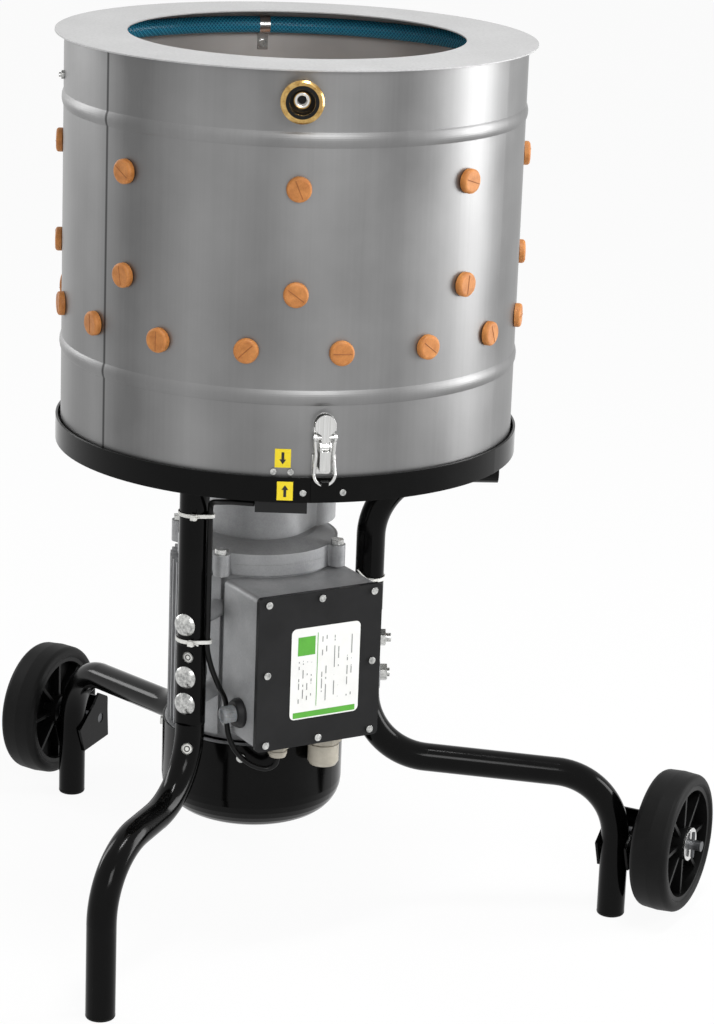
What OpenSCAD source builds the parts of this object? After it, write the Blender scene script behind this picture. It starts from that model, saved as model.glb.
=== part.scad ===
// Drum poultry plucker: a steel drum lined with rubber fingers over a spinning finger plate,
// carried by a three-legged stand with a geared motor, a control box and two transport wheels.
// Millimetres, +Z up, floor at z = 0. The drum axis is the design axis; place() centres the footprint.

/* [Drum] */
// Outside diameter of the drum
drum_od = 497; // [475:1:500]
// Thickness of the drum sheet
drum_wall = 1.5; // [1:0.1:2.5]
// Height of the drum shell
drum_h = 443; // [420:1:480]
// Turn of the drum on its base, measured from +X
drum_turn = -61.2; // [-66:0.1:-56]
// How far the rolled beads stand out
bead_out = 2; // [1.5:0.5:4]
// Width of a rolled bead
bead_w = 16; // [10:1:22]
// Upper bead above the drum's lower edge
upper_bead_h = 372.5; // [360:0.5:385]
// Lower bead above the drum's lower edge
lower_bead_h = 106; // [102:1:125]
// Outside diameter of the flat top rim
rim_od = 517; // [510:1:545]
// Diameter of the mouth in the rim
mouth_d = 363; // [330:1:400]
// Thickness of the rim plate
rim_t = 1.5; // [1:0.1:3]

/* [Fingers] */
// Diameter of a finger's head
finger_head_d = 26; // [24:0.5:30]
// Height of a finger's head
finger_head_h = 7; // [6:0.5:11]
// Diameter of the neck that sits in the sheet
finger_neck_d = 20; // [16:0.5:21]
// Free length of a finger
finger_len = 92; // [70:1:105]
// Diameter of a finger's tip
finger_tip_d = 14; // [10:0.5:16]
// Finger columns round the drum
finger_columns = 8; // [6:1:9]
// Top finger row above the drum's lower edge
top_row_h = 323; // [310:1:335]
// Middle finger row above the drum's lower edge
middle_row_h = 214.5; // [200:0.5:240]
// Bottom finger row above the drum's lower edge
bottom_row_h = 154; // [150:1:170]

/* [Base ring] */
// Outside diameter of the base ring
ring_od = 508; // [506:0.5:540]
// Height of the base ring's band
ring_h = 27; // [22:1:32]
// Thickness of the base ring's band
ring_wall = 2.5; // [1.5:0.1:2.6]
// Thickness of the base ring's floor
floor_t = 4; // [3:0.5:6]
// Width of the seat under the drum's edge
seat_w = 13.5; // [8:0.5:16]
// Underside of the base ring above the ground
ring_z = 545; // [535:1:560]
// Width of the spokes
spoke_w = 46; // [40:1:60]
// Radius of the centre plate over the gear case
hub_r = 80; // [70:1:95]

/* [Rotor plate] */
// Diameter of the spinning plate
plate_d = 440; // [420:1:446]
// Thickness of the spinning plate
plate_t = 3; // [2:0.5:5]
// Underside of the plate above the base floor
plate_gap = 24; // [20:1:30]
// Diameter of the output shaft
shaft_d = 25; // [20:1:26]
// Fingers in the outer circle of the plate
outer_fingers = 12; // [8:1:16]
// Radius of the outer finger circle
outer_finger_r = 188; // [175:1:195]
// Fingers in the inner circle of the plate
inner_fingers = 6; // [4:1:8]
// Radius of the inner finger circle
inner_finger_r = 105; // [85:1:130]

/* [Gear unit] */
// Gear module
gear_module = 1.5; // [1.5:0.05:1.6]
// Teeth on the pinion
pinion_teeth = 13; // [12:1:14]
// Teeth on the output gear
gear_teeth = 65; // [62:1:66]
// Face width of the output gear
gear_w = 20; // [14:1:22]
// Wall of the gear case
case_wall = 6; // [5:0.5:9]
// Radius of the gear case round the pinion
pinion_case_r = 54; // [46:1:56]
// Radius of the motor flange
flange_r = 88; // [86:0.5:94]
// Thickness of each half of the motor flange
flange_t = 12; // [9:0.5:14]

/* [Motor] */
// Radius of the motor's barrel
barrel_r = 84; // [80:0.5:85]
// Radius at the tips of the cooling fins
fin_tip_r = 96; // [90:0.5:98]
// Thickness of a cooling fin
fin_t = 2.6; // [2:0.1:4]
// Angle between cooling fins
fin_pitch = 7; // [6:0.5:12]
// Lower end of the motor's barrel above the ground
motor_z = 237; // [232:1:245]
// Radius of the fan cover
cover_r = 101; // [100:0.5:106]
// Underside of the fan cover above the ground
cover_z = 133; // [125:1:145]
// Radius of the fan cover's rounded edge
cover_round = 38; // [20:1:45]

/* [Control box] */
// Direction that the box faces, measured from +X about the motor axis
box_turn = -34; // [-37:0.5:-31]
// Front of the box cover from the motor axis
box_reach = 148; // [140:1:160]
// Width of the box cover
box_w = 150; // [140:1:156]
// Height of the box cover
box_h = 173; // [160:1:178]
// Middle of the box above the ground
box_z = 340.5; // [336:0.5:346]
// Thickness of the box cover
lid_t = 6; // [4:0.5:10]
// Travel of the push button
button_travel = 4; // [2:0.5:4]
// Diameter of the push button
button_d = 19; // [14:0.5:22]

/* [Legs] */
// Outside diameter of the leg tube
leg_od = 32; // [28:0.5:34]
// Wall of the leg tube
leg_wall = 2.5; // [2:0.1:3]
// Bend radius of the leg tube's centre line
bend_r = 80; // [70:1:85]
// Front upright from the motor axis
front_leg_r = 145; // [138:1:155]
// Rear uprights from the motor axis
rear_leg_r = 125; // [122:1:132]
// Front foot from the motor axis
front_foot_r = 325.5; // [315:0.5:345]
// Rear feet from the motor axis
rear_foot_r = 418; // [405:1:430]
// Slope of the leg runs
run_slope = 5.9; // [4:0.1:8]
// Corner between upright and run above the ground
run_corner_z = 196.5; // [192:0.5:205]
// Width of the flattened, bolted length of an upright
flat_w = 34; // [30:0.5:36]
// Depth of the flattened, bolted length of an upright
flat_d = 25; // [22:0.5:27]
// Upper end of the flattened length above the ground
flat_top_z = 365; // [358:1:370]
// Diameter of the leg bolts
bolt_d = 10; // [8:0.5:12]

/* [Wheels] */
// Diameter of a wheel
wheel_d = 162; // [156:1:172]
// Width of a wheel
wheel_w = 45; // [38:1:50]
// Axle above the ground
axle_z = 89.5; // [88:0.5:96]
// Axle behind the drum axis
axle_y = 186; // [182:1:192]
// Diameter of an axle
axle_d = 12; // [10:0.5:16]
// Thickness of a bracket plate
bracket_t = 3; // [2:0.5:5]
// Ribs on each side of a wheel hub
wheel_ribs = 8; // [5:1:10]

/* [Water] */
// Outside diameter of the hose
hose_od = 19; // [16:0.5:22]
// Bore of the hose
hose_bore = 13; // [10:0.5:14]
// Middle of the hose below the top of the rim
hose_drop = 23; // [20:0.5:28]
// Middle of the water inlet below the top of the rim
inlet_drop = 30; // [28:0.5:34]
// Bore of the water inlet's outer end
inlet_bore = 26; // [18:0.5:27]

/* [Clearances] */
// Radial clearance of a turning or sliding fit
run_fit = 0.05; // [0.02:0.01:0.08]
// Clearance of pieces that are put together by hand
loose_fit = 0.3; // [0.2:0.05:0.5]

/* [Hidden] */
$fn = 96;

// Levels above the ground
floor_z = ring_z + floor_t;
rim_z = floor_z + drum_h;
top_z = rim_z + rim_t;
plate_z = floor_z + plate_gap;
flange_z = motor_z + 203;
case_z = flange_z + flange_t;
box_floor_z = box_z - box_h / 2 + 2;

// Radii
drum_r = drum_od / 2;
drum_in_r = drum_r - drum_wall;
ring_r = ring_od / 2;
leg_r = leg_od / 2;
wheel_r = wheel_d / 2;
axle_r = axle_d / 2;
shaft_r = shaft_d / 2;

// Gears: the pinion gets a longer addendum and the gear a shorter one
shift = 0.3;
motor_offset = gear_module * (pinion_teeth + gear_teeth) / 2;
gear_tip_r = gear_module * (gear_teeth / 2 + 1 - shift);
backlash = 0.08;
gear_room = 3;
case_r = gear_tip_r + gear_room + case_wall;
neck_h = 7;
cavity_z = case_z + 34;
cavity_h = gear_w + 10;
gear_z = cavity_z + 5;
// Bolts that hold the gear case under the centre plate
hub_bolts = [for (a = [20, 90, 160]) polar(case_r - 8, a)];
m8_hole_r = 4.2;
m8_head_w = 13;
m8_head_h = 5.5;

// Motor: four bolted ears, screws of the fan cover, and fins clear of the box, bosses and ears
ear_turns = [for (k = [0:3]) -86 + 90 * k];
ear_r = 9;
ear_at = flange_r + 7;
fan_screw_turns = [for (k = [0:3]) -68.7 + 90 * k];
fan_screw_z = motor_z - 13;
fin_turns = [for (a = [42.5:fin_pitch:138]) a, for (a = [162:fin_pitch:258]) a];

// Ball bearings
bearing_h = 15;
output_bearing_r = shaft_r + 13.5;
motor_shaft_r = 10;
motor_bearing_r = motor_shaft_r + 13.5;
stator_r = 72;
seal_r = shaft_r + 8;

// Legs
leg_turns = [-90, 30, 150];
bend_angle = 90 - run_slope;
bend_reach = bend_r * tan(bend_angle / 2);
weld_step = 0.05;
lap = 1;
collar_h = 6;
joint_z = run_corner_z + bend_reach + collar_h;
plug_h = 4;
rear_bend_z = ring_z - leg_r - bend_r;
rear_top_reach = 262;
bolt_zs = [388.5, 328.5, 298.5];
stud_zs = [331, 290];
head_r = 12.5;
bolt_thread = 18;
nut_w = 17;
nut_h = 8;
saddle_t = 3;

// Footprint
rear_foot = motor_at(30, rear_foot_r);
stand_shift = (motor_offset + front_foot_r + leg_r - axle_y - wheel_r) / 2;
weld_gap = 0.2;
bracket_in_x = rear_foot[0] - leg_r - weld_gap - bracket_t;
bracket_out_x = rear_foot[0] + leg_r + weld_gap;
wheel_gap = 14;
wheel_x = bracket_out_x + bracket_t + wheel_gap + wheel_w / 2;
hub_len = wheel_w - 5;
rim_in_r = wheel_r - 19;
tyre_in_r = wheel_r - 14;
boss_r = axle_r + 13;
axle_stub = 14;

// Fingers: heads outside, the neck fills the sheet, the flange and finger lie inside
neck_fit = 0.1;
flange_in_h = 5;
rib_count = 6;
column_pitch = 360 / finger_columns;
bottom_pitch = column_pitch / 2;

// Water
hose_z = top_z - hose_drop;
inlet_z = top_z - inlet_drop;
clip_t = 1;
hose_ring_r = drum_in_r - clip_t - hose_od / 2 - loose_fit;
inlet_neck_r = inlet_bore / 2 + 3.8;
inlet_nut_r = inlet_neck_r + 2;
clip_turns = [36.6, 126.6, 216.6];
clip_w = 12;
clip_screw_drop = 23;

// Small screws in sheet metal
screw_r = 2.4;
screw_hole_r = 2.5;
screw_head_r = 3.4;

// Latches: lever pivot, bail pivot and the bail's round end, each as
// [distance out from the drum, height above the floor plate]
latch_turns = [-53.5, 66.5, 186.5];
lever_pivot = [9.5, 57];
bail_pivot = [9.5, 67];
bail_bar = [12.5, 17];
wire_r = 1.7;
latch_pin_r = 2;
bail_half = 10.5;
bail_waist = 9;
bail_round = 11;
hook_half = 4;
hook_depth = 7.5;
latch_t = 1.5;
latch_half = 11;
lever_half = 4.2;
ear_gap = 4.5;
tongue_drop = 25.5;
tongue_h = 21.5;
tab_h = bail_pivot[1] + 13;

// Safety sensor under the ring, magnet on the drum above it
sensor_turn = -63.2;
sensor_size = [22, 54, 12];
magnet_size = [12, 44, 20];
magnet_h = 28;

// Box
box_in = 66;
box_wall = 7;
box_half = box_w / 2 - 1;
lid_z = box_reach - lid_t;
lid_screw_t = 64;
lid_screw_h = 79;
lid_screws = [
    for (y = [-1, 0, 1], z = [-1, 0, 1])
        if (y != 0 || z != 0) [y * lid_screw_t, z * lid_screw_h]
];
button_n = 108;
button_z = 287;
button_len = 18;
bezel_h = 8;
gland_n = 115;
mains_t = 27;
lead_t = -30;
lead_r = 3;
mains_gland_len = 40;
lead_gland_len = 23;

// The sensor's lead, from the sensor down the front leg and into the small gland
lead_points = [
    [84, -227.4, 539], [74, -231, 539], [60, -232, 538], [46, -229, 535], [34, -221, 531],
    [25, -212, 526], [20.5, -206, 518], [20, -205, 507], [20, -205, 470], [20, -205, 440],
    [20, -205, 410], [20, -205, 385], [20, -205, 362], [22, -198, 338], [25, -186, 314],
    [27, -174, 294], [28, -172.5, 272], [31, -172.5, 255], [37, -171, 241], [46, -168, 230],
    [57, -163, 222], [68, -155, 218], [76, -149.2, 222], [78.5, -147.7, 230], [78.5, -147.7, 241]
];
lead_sides = 8;

function polar(r, a) = [r * cos(a), r * sin(a)];
function motor_at(a, r) = [r * cos(a), r * sin(a) - motor_offset];
function arc(c, r, a0, a1, n) = [for (i = [0:n]) c + polar(r, a0 + (a1 - a0) * i / n)];

// Turns a child about the drum axis, with its X pointing outwards
module about_drum(a) {
    rotate([0, 0, a]) children();
}

// Turns a child about the motor axis, with its X pointing outwards
module about_motor(a) {
    translate([0, -motor_offset, 0]) rotate([0, 0, a]) children();
}

// Centres the footprint on the origin
module place(tone) {
    color(tone) translate([0, stand_shift, 0]) children();
}

module ring2d(r_out, r_in) {
    difference() {
        circle(r = r_out);
        circle(r = r_in);
    }
}

module tube(r_out, r_in, h) {
    linear_extrude(h) ring2d(r_out, r_in);
}

// Rounded rectangle made of squares and corner circles
module round_rect(w, h, r) {
    square([w - 2 * r, h], center = true);
    square([w, h - 2 * r], center = true);
    for (x = [-1, 1], y = [-1, 1]) translate([x * (w / 2 - r), y * (h / 2 - r)]) circle(r = r, $fn = 32);
}

// Flattened tube section, wide along Y
module oval2d(w, d) {
    square([d, w - d], center = true);
    for (y = [-1, 1]) translate([0, y * (w - d) / 2]) circle(d = d);
}

module oval_tube(w, d, wall, h) {
    linear_extrude(h) difference() {
        oval2d(w, d);
        oval2d(w - 2 * wall, d - 2 * wall);
    }
}

// Plate in the YZ plane, rising from x = 0 along +X
module plate_x(t) {
    rotate([90, 0, 90]) linear_extrude(t) children();
}

// Rod along X
module rod_x(r, x0, x1) {
    translate([x0, 0, 0]) rotate([0, 90, 0]) cylinder(r = r, h = x1 - x0);
}

// Rod along Y
module rod_y(r, y0, y1) {
    translate([0, y0, 0]) rotate([-90, 0, 0]) cylinder(r = r, h = y1 - y0);
}

module hex_x(w, h) {
    rotate([0, 90, 0]) cylinder(d = w / cos(30), h = h, $fn = 6);
}

module tube_arc(angle) {
    translate([bend_r, 0, 0]) rotate([90, 0, 0]) rotate([0, 0, 180 - angle])
        rotate_extrude(angle = angle) translate([bend_r, 0]) ring2d(leg_r, leg_r - leg_wall);
}

// Leg tube that runs along +Z; each step is a straight length and a bend towards +X.
// A straight length laps into its bends and is finer by weld_step, so that the two join cleanly
module tube_path(steps, i = 0) {
    length = steps[i][0];
    angle = steps[i][1];
    side = angle < 0 ? 180 : 0;
    lap_in = i == 0 ? 0 : lap;
    lap_out = angle == 0 ? 0 : lap;
    if (length > 0) translate([0, 0, -lap_in])
        tube(leg_r - weld_step, leg_r - leg_wall + weld_step, length + lap_in + lap_out);
    if (angle != 0) translate([0, 0, length]) rotate([0, 0, side]) {
        tube_arc(abs(angle));
        if (i + 1 < len(steps))
            translate([bend_r * (1 - cos(angle)), 0, bend_r * sin(abs(angle))])
                rotate([0, abs(angle), 0]) rotate([0, 0, -side]) tube_path(steps, i + 1);
    }
}

// Involute gear outline, with the profile shifted by a share of the module
function involute(a) = tan(a) - a * PI / 180;
function flank_turn(teeth, x, r) =
    let (
        pitch_r = gear_module * teeth / 2,
        base_r = pitch_r * cos(20),
        half = (90 + 2 * x * tan(20) * 180 / PI) / teeth - backlash / pitch_r * 90 / PI,
        a = r > base_r ? acos(base_r / r) : 0
    )
    half + (involute(20) - involute(a)) * 180 / PI;
function gear_points(teeth, x) =
    let (
        root_r = gear_module * (teeth / 2 - 1.25 + x),
        tip_r = gear_module * (teeth / 2 + 1 + x),
        start_r = max(root_r + 0.1, gear_module * teeth / 2 * cos(20)),
        steps = 4
    )
    [
        for (k = [0:teeth - 1])
            let (c = 360 * k / teeth)
            each concat(
                [polar(root_r, c - flank_turn(teeth, x, start_r))],
                [for (i = [0:steps]) let (r = start_r + (tip_r - start_r) * i / steps)
                    polar(r, c - flank_turn(teeth, x, r))],
                [for (i = [0:steps]) let (r = tip_r - (tip_r - start_r) * i / steps)
                    polar(r, c + flank_turn(teeth, x, r))],
                [polar(root_r, c + flank_turn(teeth, x, start_r))]
            )
    ];

// Rubber finger along +X: head below x = 0, neck through a sheet, then flange, ribs and tip
module finger(sheet) {
    neck = finger_neck_d / 2 - neck_fit;
    head = finger_head_d / 2;
    round_r = 3;
    root = sheet + flange_in_h;
    rib_step = (finger_len - 12) / rib_count;
    base_r = 10.5;
    tip = finger_tip_d / 2;
    slim = function (i) base_r + (tip - base_r) * i / rib_count;
    rotate([0, 90, 0]) rotate_extrude() polygon(concat(
        [[0, -finger_head_h]],
        arc([head - round_r, round_r - finger_head_h], round_r, -90, 0, 4),
        [[head, 0], [neck, 0], [neck, sheet], [head - 1, sheet], [head - 1, root - 1], [head - 2, root]],
        [for (i = [0:rib_count - 1]) each [
            [slim(i) - 1, root + i * rib_step],
            [slim(i) - 1, root + (i + 0.55) * rib_step],
            [slim(i) + 1, root + (i + 0.7) * rib_step],
            [slim(i) + 1, root + (i + 0.85) * rib_step]
        ]],
        [[tip - 1, root + rib_count * rib_step]],
        arc([tip - 4, finger_len + root - 4], 3, 0, 90, 3),
        [[0, finger_len + root - 1]]
    ));
}

// A row of fingers through the drum wall, pointing at the axis
module finger_row(count, turn, h) {
    for (k = [0:count - 1]) about_drum(drum_turn + turn + 360 * k / count)
        translate([drum_r + sagitta(finger_head_d), 0, floor_z + h]) rotate([0, 0, 180])
            finger(drum_wall + sagitta(finger_head_d) + sagitta(finger_head_d));
}
function sagitta(w) = drum_r - sqrt(drum_r * drum_r - w * w / 4);

module finger_holes(count, turn, h) {
    for (k = [0:count - 1]) about_drum(drum_turn + turn + 360 * k / count)
        translate([0, 0, floor_z + h]) rod_x(finger_neck_d / 2, drum_in_r - 10, drum_r + 10);
}

// Arc of a rolled bead at a height on the wall, standing out from a radius
function bead_arc(r, h, up) =
    let (
        run = bead_w / 2,
        curve = (run * run + bead_out * bead_out) / (2 * bead_out),
        half = asin(run / curve)
    )
    arc([r + bead_out - curve, floor_z + h], curve, up ? -half : half, up ? half : -half, 8);

module drum_shell() {
    x0 = drum_in_r - 10;
    x1 = drum_r + 10;
    place("silver") difference() {
        rotate_extrude() polygon(concat(
            [[drum_in_r, floor_z], [drum_r, floor_z]],
            bead_arc(drum_r, lower_bead_h, true),
            bead_arc(drum_r, upper_bead_h, true),
            [[drum_r, rim_z], [drum_in_r, rim_z]],
            bead_arc(drum_in_r, upper_bead_h, false),
            bead_arc(drum_in_r, lower_bead_h, false)
        ));
        finger_holes(finger_columns, 0, top_row_h);
        finger_holes(finger_columns, 0, middle_row_h);
        finger_holes(2 * finger_columns, bottom_pitch / 2, bottom_row_h);
        about_drum(drum_turn) translate([0, 0, inlet_z]) rod_x(inlet_neck_r + 0.2, x0, x1);
        for (a = clip_turns) about_drum(a) translate([0, 0, hose_z - clip_screw_drop])
            rod_x(screw_hole_r, x0, x1);
        for (y = [-1, 1]) about_drum(sensor_turn) translate([0, y * 9, floor_z + magnet_h])
            rod_x(screw_hole_r, x0, x1);
    }
}

module rim_ring() {
    place("lightgray") translate([0, 0, rim_z]) tube(rim_od / 2, mouth_d / 2, rim_t);
}

module fingers_top() {
    place("peru") finger_row(finger_columns, 0, top_row_h);
}

module fingers_middle() {
    place("peru") finger_row(finger_columns, 0, middle_row_h);
}

module fingers_bottom() {
    place("peru") finger_row(2 * finger_columns, bottom_pitch / 2, bottom_row_h);
}

// Brass bulkhead: outer collar and threaded end, neck through the wall, tail for the hose inside
module inlet_fitting() {
    collar = inlet_bore / 2 + 9;
    neck = inlet_neck_r;
    tail_x = hose_ring_r;
    place("goldenrod") about_drum(drum_turn) translate([0, 0, inlet_z]) difference() {
        union() {
            rotate([0, 90, 0]) rotate_extrude() polygon([
                [0, tail_x - 8], [neck, tail_x - 8], [neck, drum_r + sagitta(2 * collar)],
                [collar - 3, drum_r + sagitta(2 * collar)], [collar - 3, drum_r + 14],
                [collar, drum_r + 15], [collar, drum_r + 25], [collar - 2, drum_r + 27],
                [0, drum_r + 27]
            ]);
            translate([tail_x - 8, -8, -8]) cube([12, 16, hose_z - inlet_z + 16]);
            translate([tail_x, 0, hose_z - inlet_z]) rod_y(hose_bore / 2 - 1.2, 0, inlet_nut_r + 5);
        }
        rod_x(inlet_bore / 2, drum_r + 6, drum_r + 40);
        rod_x(5, tail_x, drum_r + 20);
        translate([tail_x, -3, hose_z - inlet_z]) rod_y(4, 0, 50);
    }
}

module inlet_locknut() {
    nut_t = 3;
    x1 = drum_in_r - sagitta(2 * inlet_nut_r) - 0.1;
    place("darkgoldenrod") about_drum(drum_turn) translate([0, 0, inlet_z]) difference() {
        rod_x(inlet_nut_r, x1 - nut_t, x1);
        rod_x(inlet_neck_r + 0.1, x1 - nut_t - 1, x1 + 1);
    }
}

// Blue hose from the inlet's tail almost all the way round under the rim
module hose_ring() {
    start = asin((inlet_nut_r + 1) / hose_ring_r);
    sweep = 360 - 2 * start - 4;
    place("teal") translate([0, 0, hose_z]) about_drum(drum_turn + start) rotate_extrude(angle = sweep)
        translate([hose_ring_r, 0]) ring2d(hose_od / 2, hose_bore / 2);
}

module hose_clips() {
    r_in = hose_od / 2 + 0.1;
    r_out = r_in + clip_t;
    place("silver") for (a = clip_turns) about_drum(a) translate([0, 0, hose_z]) difference() {
        union() {
            translate([hose_ring_r, clip_w / 2, 0]) rotate([90, 0, 0]) tube(r_out, r_in, clip_w);
            translate([drum_in_r - sagitta(clip_w) - 1.2, -clip_w / 2, -clip_screw_drop - 7])
                cube([1.2, clip_w, clip_screw_drop + 7]);
        }
        translate([0, 0, -clip_screw_drop]) rod_x(screw_hole_r, drum_in_r - 10, drum_r);
        translate([hose_ring_r, clip_w, 0]) rotate([90, 0, 0]) cylinder(r = r_in, h = 2 * clip_w);
    }
}

// Screws through the drum wall: clip screws with a nut outside, magnet screws with the head outside
module drum_screws() {
    place("gainsboro") {
        for (a = clip_turns) about_drum(a) translate([0, 0, hose_z - clip_screw_drop]) {
            x0 = drum_in_r - sagitta(clip_w) - 1.2;
            rod_x(4.5, x0 - 2.6, x0);
            rod_x(screw_r, x0 - 1, drum_r + 6);
            translate([drum_r + sagitta(8), 0, 0]) hex_x(8, 3.5);
        }
        for (y = [-1, 1]) about_drum(sensor_turn) translate([0, y * 9, floor_z + magnet_h]) {
            rod_x(screw_head_r, drum_r + sagitta(2 * screw_head_r), drum_r + sagitta(2 * screw_head_r) + 3);
            rod_x(screw_r, drum_in_r - 9, drum_r + 2);
        }
        keeper_screws() {
            rod_x(screw_head_r, ring_r, ring_r + 2);
            rod_x(screw_r, ring_r - ring_wall, ring_r + 1);
        }
    }
}

// Two screws in the ring's band beside each keeper
module keeper_screws() {
    for (a = latch_turns, side = [-1, 1]) about_drum(a + side * 4.7)
        translate([0, 0, floor_z + 7]) children();
}

module latch_frame(a) {
    about_drum(a) translate([drum_r, 0, floor_z]) children();
}

module at_pivot(p) {
    translate([p[0], 0, p[1]]) children();
}

// Fixed plates on the drum: two ears with the lever's pin, a tongue in front and low side cheeks
module latch_plates() {
    cheek_h = 22;
    ear_round = 6;
    tongue_x = lever_pivot[0] + 2.5;
    tongue_z = lever_pivot[1] - tongue_drop;
    pin_half = ear_gap + latch_t;
    place("gainsboro") for (a = latch_turns) latch_frame(a) {
        plate_x(latch_t) {
            translate([-latch_half, ring_h]) square([2 * latch_half, tab_h - ring_h]);
            translate([0, tab_h]) circle(r = latch_half);
            translate([-latch_half - latch_t, ring_h - 1]) square([2 * (latch_half + latch_t), cheek_h]);
        }
        for (y = [-pin_half, ear_gap]) translate([0, y, 0]) {
            at_pivot(lever_pivot) rod_y(ear_round, 0, latch_t);
            translate([1, 0, lever_pivot[1] - 5]) cube([lever_pivot[0] - 1, latch_t, 10]);
        }
        at_pivot(lever_pivot) rod_y(latch_pin_r, -pin_half, pin_half);
        translate([1, -latch_half / 2, tongue_z]) cube([tongue_x + latch_t - 1, latch_half, latch_t]);
        translate([tongue_x, -latch_half / 2, tongue_z]) cube([latch_t, latch_half, tongue_h]);
        for (y = [-latch_half - latch_t, latch_half])
            translate([1, y, ring_h - 1]) cube([4.5, latch_t, cheek_h]);
    }
}

// Hooks on the base ring's band, narrow enough to stand inside the bail's round end
module latch_keepers() {
    x0 = ring_r - drum_r;
    inner_r = bail_round - wire_r;
    rise = inner_r - sqrt(pow(inner_r, 2) - pow(hook_half, 2));
    top = bail_bar[1] + wire_r + rise + loose_fit;
    lip = bail_bar[0] + wire_r + 2;
    foot_half = latch_half + 2;
    place("silver") for (a = latch_turns) latch_frame(a) {
        translate([x0, -foot_half, -2]) cube([latch_t, 2 * foot_half, ring_h - floor_t]);
        translate([x0, -hook_half, top]) cube([lip + latch_t - x0, 2 * hook_half, latch_t]);
        translate([lip, -hook_half, top + latch_t - hook_depth]) cube([latch_t, 2 * hook_half, hook_depth]);
    }
}

// Lever: block on the fixed pin, pin for the bail and a rounded finger tab on top
module latch_lever(a) {
    block = [5, 2 * lever_half, 22];
    place("whitesmoke") latch_frame(a) difference() {
        union() {
            translate([lever_pivot[0] - block[0] / 2, -lever_half, lever_pivot[1] - 3]) cube(block);
            at_pivot(lever_pivot) rod_y(4, -lever_half, lever_half);
            at_pivot(bail_pivot) rod_y(latch_pin_r, -bail_half - 2, bail_half + 2);
            translate([lever_pivot[0] + 0.5, 0, 0]) plate_x(2) {
                translate([-latch_half, tab_h - 5.5]) square([2 * latch_half, 9]);
                translate([0, tab_h]) circle(r = latch_half);
            }
        }
        at_pivot(lever_pivot) rod_y(latch_pin_r + run_fit, -2 * lever_half, 2 * lever_half);
    }
}

module latch_lever_front() {
    latch_lever(latch_turns[0]);
}

module latch_lever_right() {
    latch_lever(latch_turns[1]);
}

module latch_lever_left() {
    latch_lever(latch_turns[2]);
}

// Round wire between two points in the bail's own plane, with a slightly larger ball at its far end
module wire(p, q) {
    run = q - p;
    translate(p) rotate([-atan2(run[1], run[2]), 0, 0]) cylinder(r = wire_r, h = norm(run));
    translate(q) sphere(r = wire_r + 3 * weld_step);
}

// Pear-shaped wire bail: two eyes on the lever's pin, a waist and a round end under the keeper's hook
module latch_bail(a) {
    reach = bail_bar - bail_pivot;
    length = norm(reach);
    lean = atan2(reach[0], -reach[1]);
    round_z = bail_round - length;
    place("white") latch_frame(a) at_pivot(bail_pivot) rotate([0, -lean, 0]) difference() {
        union() {
            for (y = [-1, 1]) {
                translate([0, y * bail_half, 0]) rod_y(4, -1.5, 1.5);
                wire([0, y * bail_half, 0], [0, y * bail_waist, round_z / 2]);
                wire([0, y * bail_waist, round_z / 2], [0, y * bail_round, round_z]);
            }
            translate([0, 0, round_z]) rotate([90, 0, 90]) rotate([0, 0, 180]) rotate_extrude(angle = 180)
                translate([bail_round, 0]) circle(r = wire_r);
        }
        rod_y(latch_pin_r + run_fit, -bail_half - 5, bail_half + 5);
    }
}

module latch_bail_front() {
    latch_bail(latch_turns[0]);
}

module latch_bail_right() {
    latch_bail(latch_turns[1]);
}

module latch_bail_left() {
    latch_bail(latch_turns[2]);
}

// Band, seat, spokes over the legs and a centre plate over the gear case
module base_ring() {
    place("#181818") difference() {
        union() {
            rotate_extrude() {
                translate([ring_r - ring_wall, ring_z]) square([ring_wall, ring_h]);
                translate([ring_r - ring_wall - seat_w, ring_z]) square([seat_w + 0.1, floor_t]);
            }
            intersection() {
                translate([0, 0, ring_z]) cylinder(r = ring_r - ring_wall / 2, h = floor_t);
                union() for (a = leg_turns) about_motor(a)
                    translate([0, -spoke_w / 2, ring_z]) cube([2 * ring_r, spoke_w, floor_t]);
            }
            translate([0, 0, ring_z]) cylinder(r = hub_r, h = floor_t);
            about_motor(0) translate([0, 0, ring_z]) cylinder(r = hub_r - 10, h = floor_t);
        }
        translate([0, 0, ring_z - 1]) cylinder(r = seal_r + 2, h = floor_t + 2);
        for (p = hub_bolts) translate([p[0], p[1], ring_z - 1]) cylinder(r = m8_hole_r, h = floor_t + 2);
        keeper_screws() rod_x(screw_hole_r, ring_r - 10, ring_r + 10);
    }
}

// Upright's upper piece: flattened where it is bolted, round above
module upper_leg(turn, reach, steps, hole_zs) {
    place("#141414") about_motor(turn) translate([reach, 0, 0]) difference() {
        union() {
            translate([0, 0, joint_z]) oval_tube(flat_w, flat_d, leg_wall, flat_top_z - joint_z);
            translate([0, 0, flat_top_z]) tube_path(steps);
        }
        for (z = hole_zs) translate([0, 0, z]) rod_x(bolt_d / 2 + loose_fit, -leg_od, leg_od);
    }
}

module front_upper_leg() {
    upper_leg(leg_turns[0], front_leg_r, [[ring_z - flat_top_z, 0]], bolt_zs);
}

module rear_upper_leg(turn) {
    rise = rear_bend_z - flat_top_z;
    run = rear_top_reach - rear_leg_r - bend_r;
    upper_leg(turn, rear_leg_r, [[rise, 90], [run, 0]], stud_zs);
}

module right_upper_leg() {
    rear_upper_leg(leg_turns[1]);
}

module left_upper_leg() {
    rear_upper_leg(leg_turns[2]);
}

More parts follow.
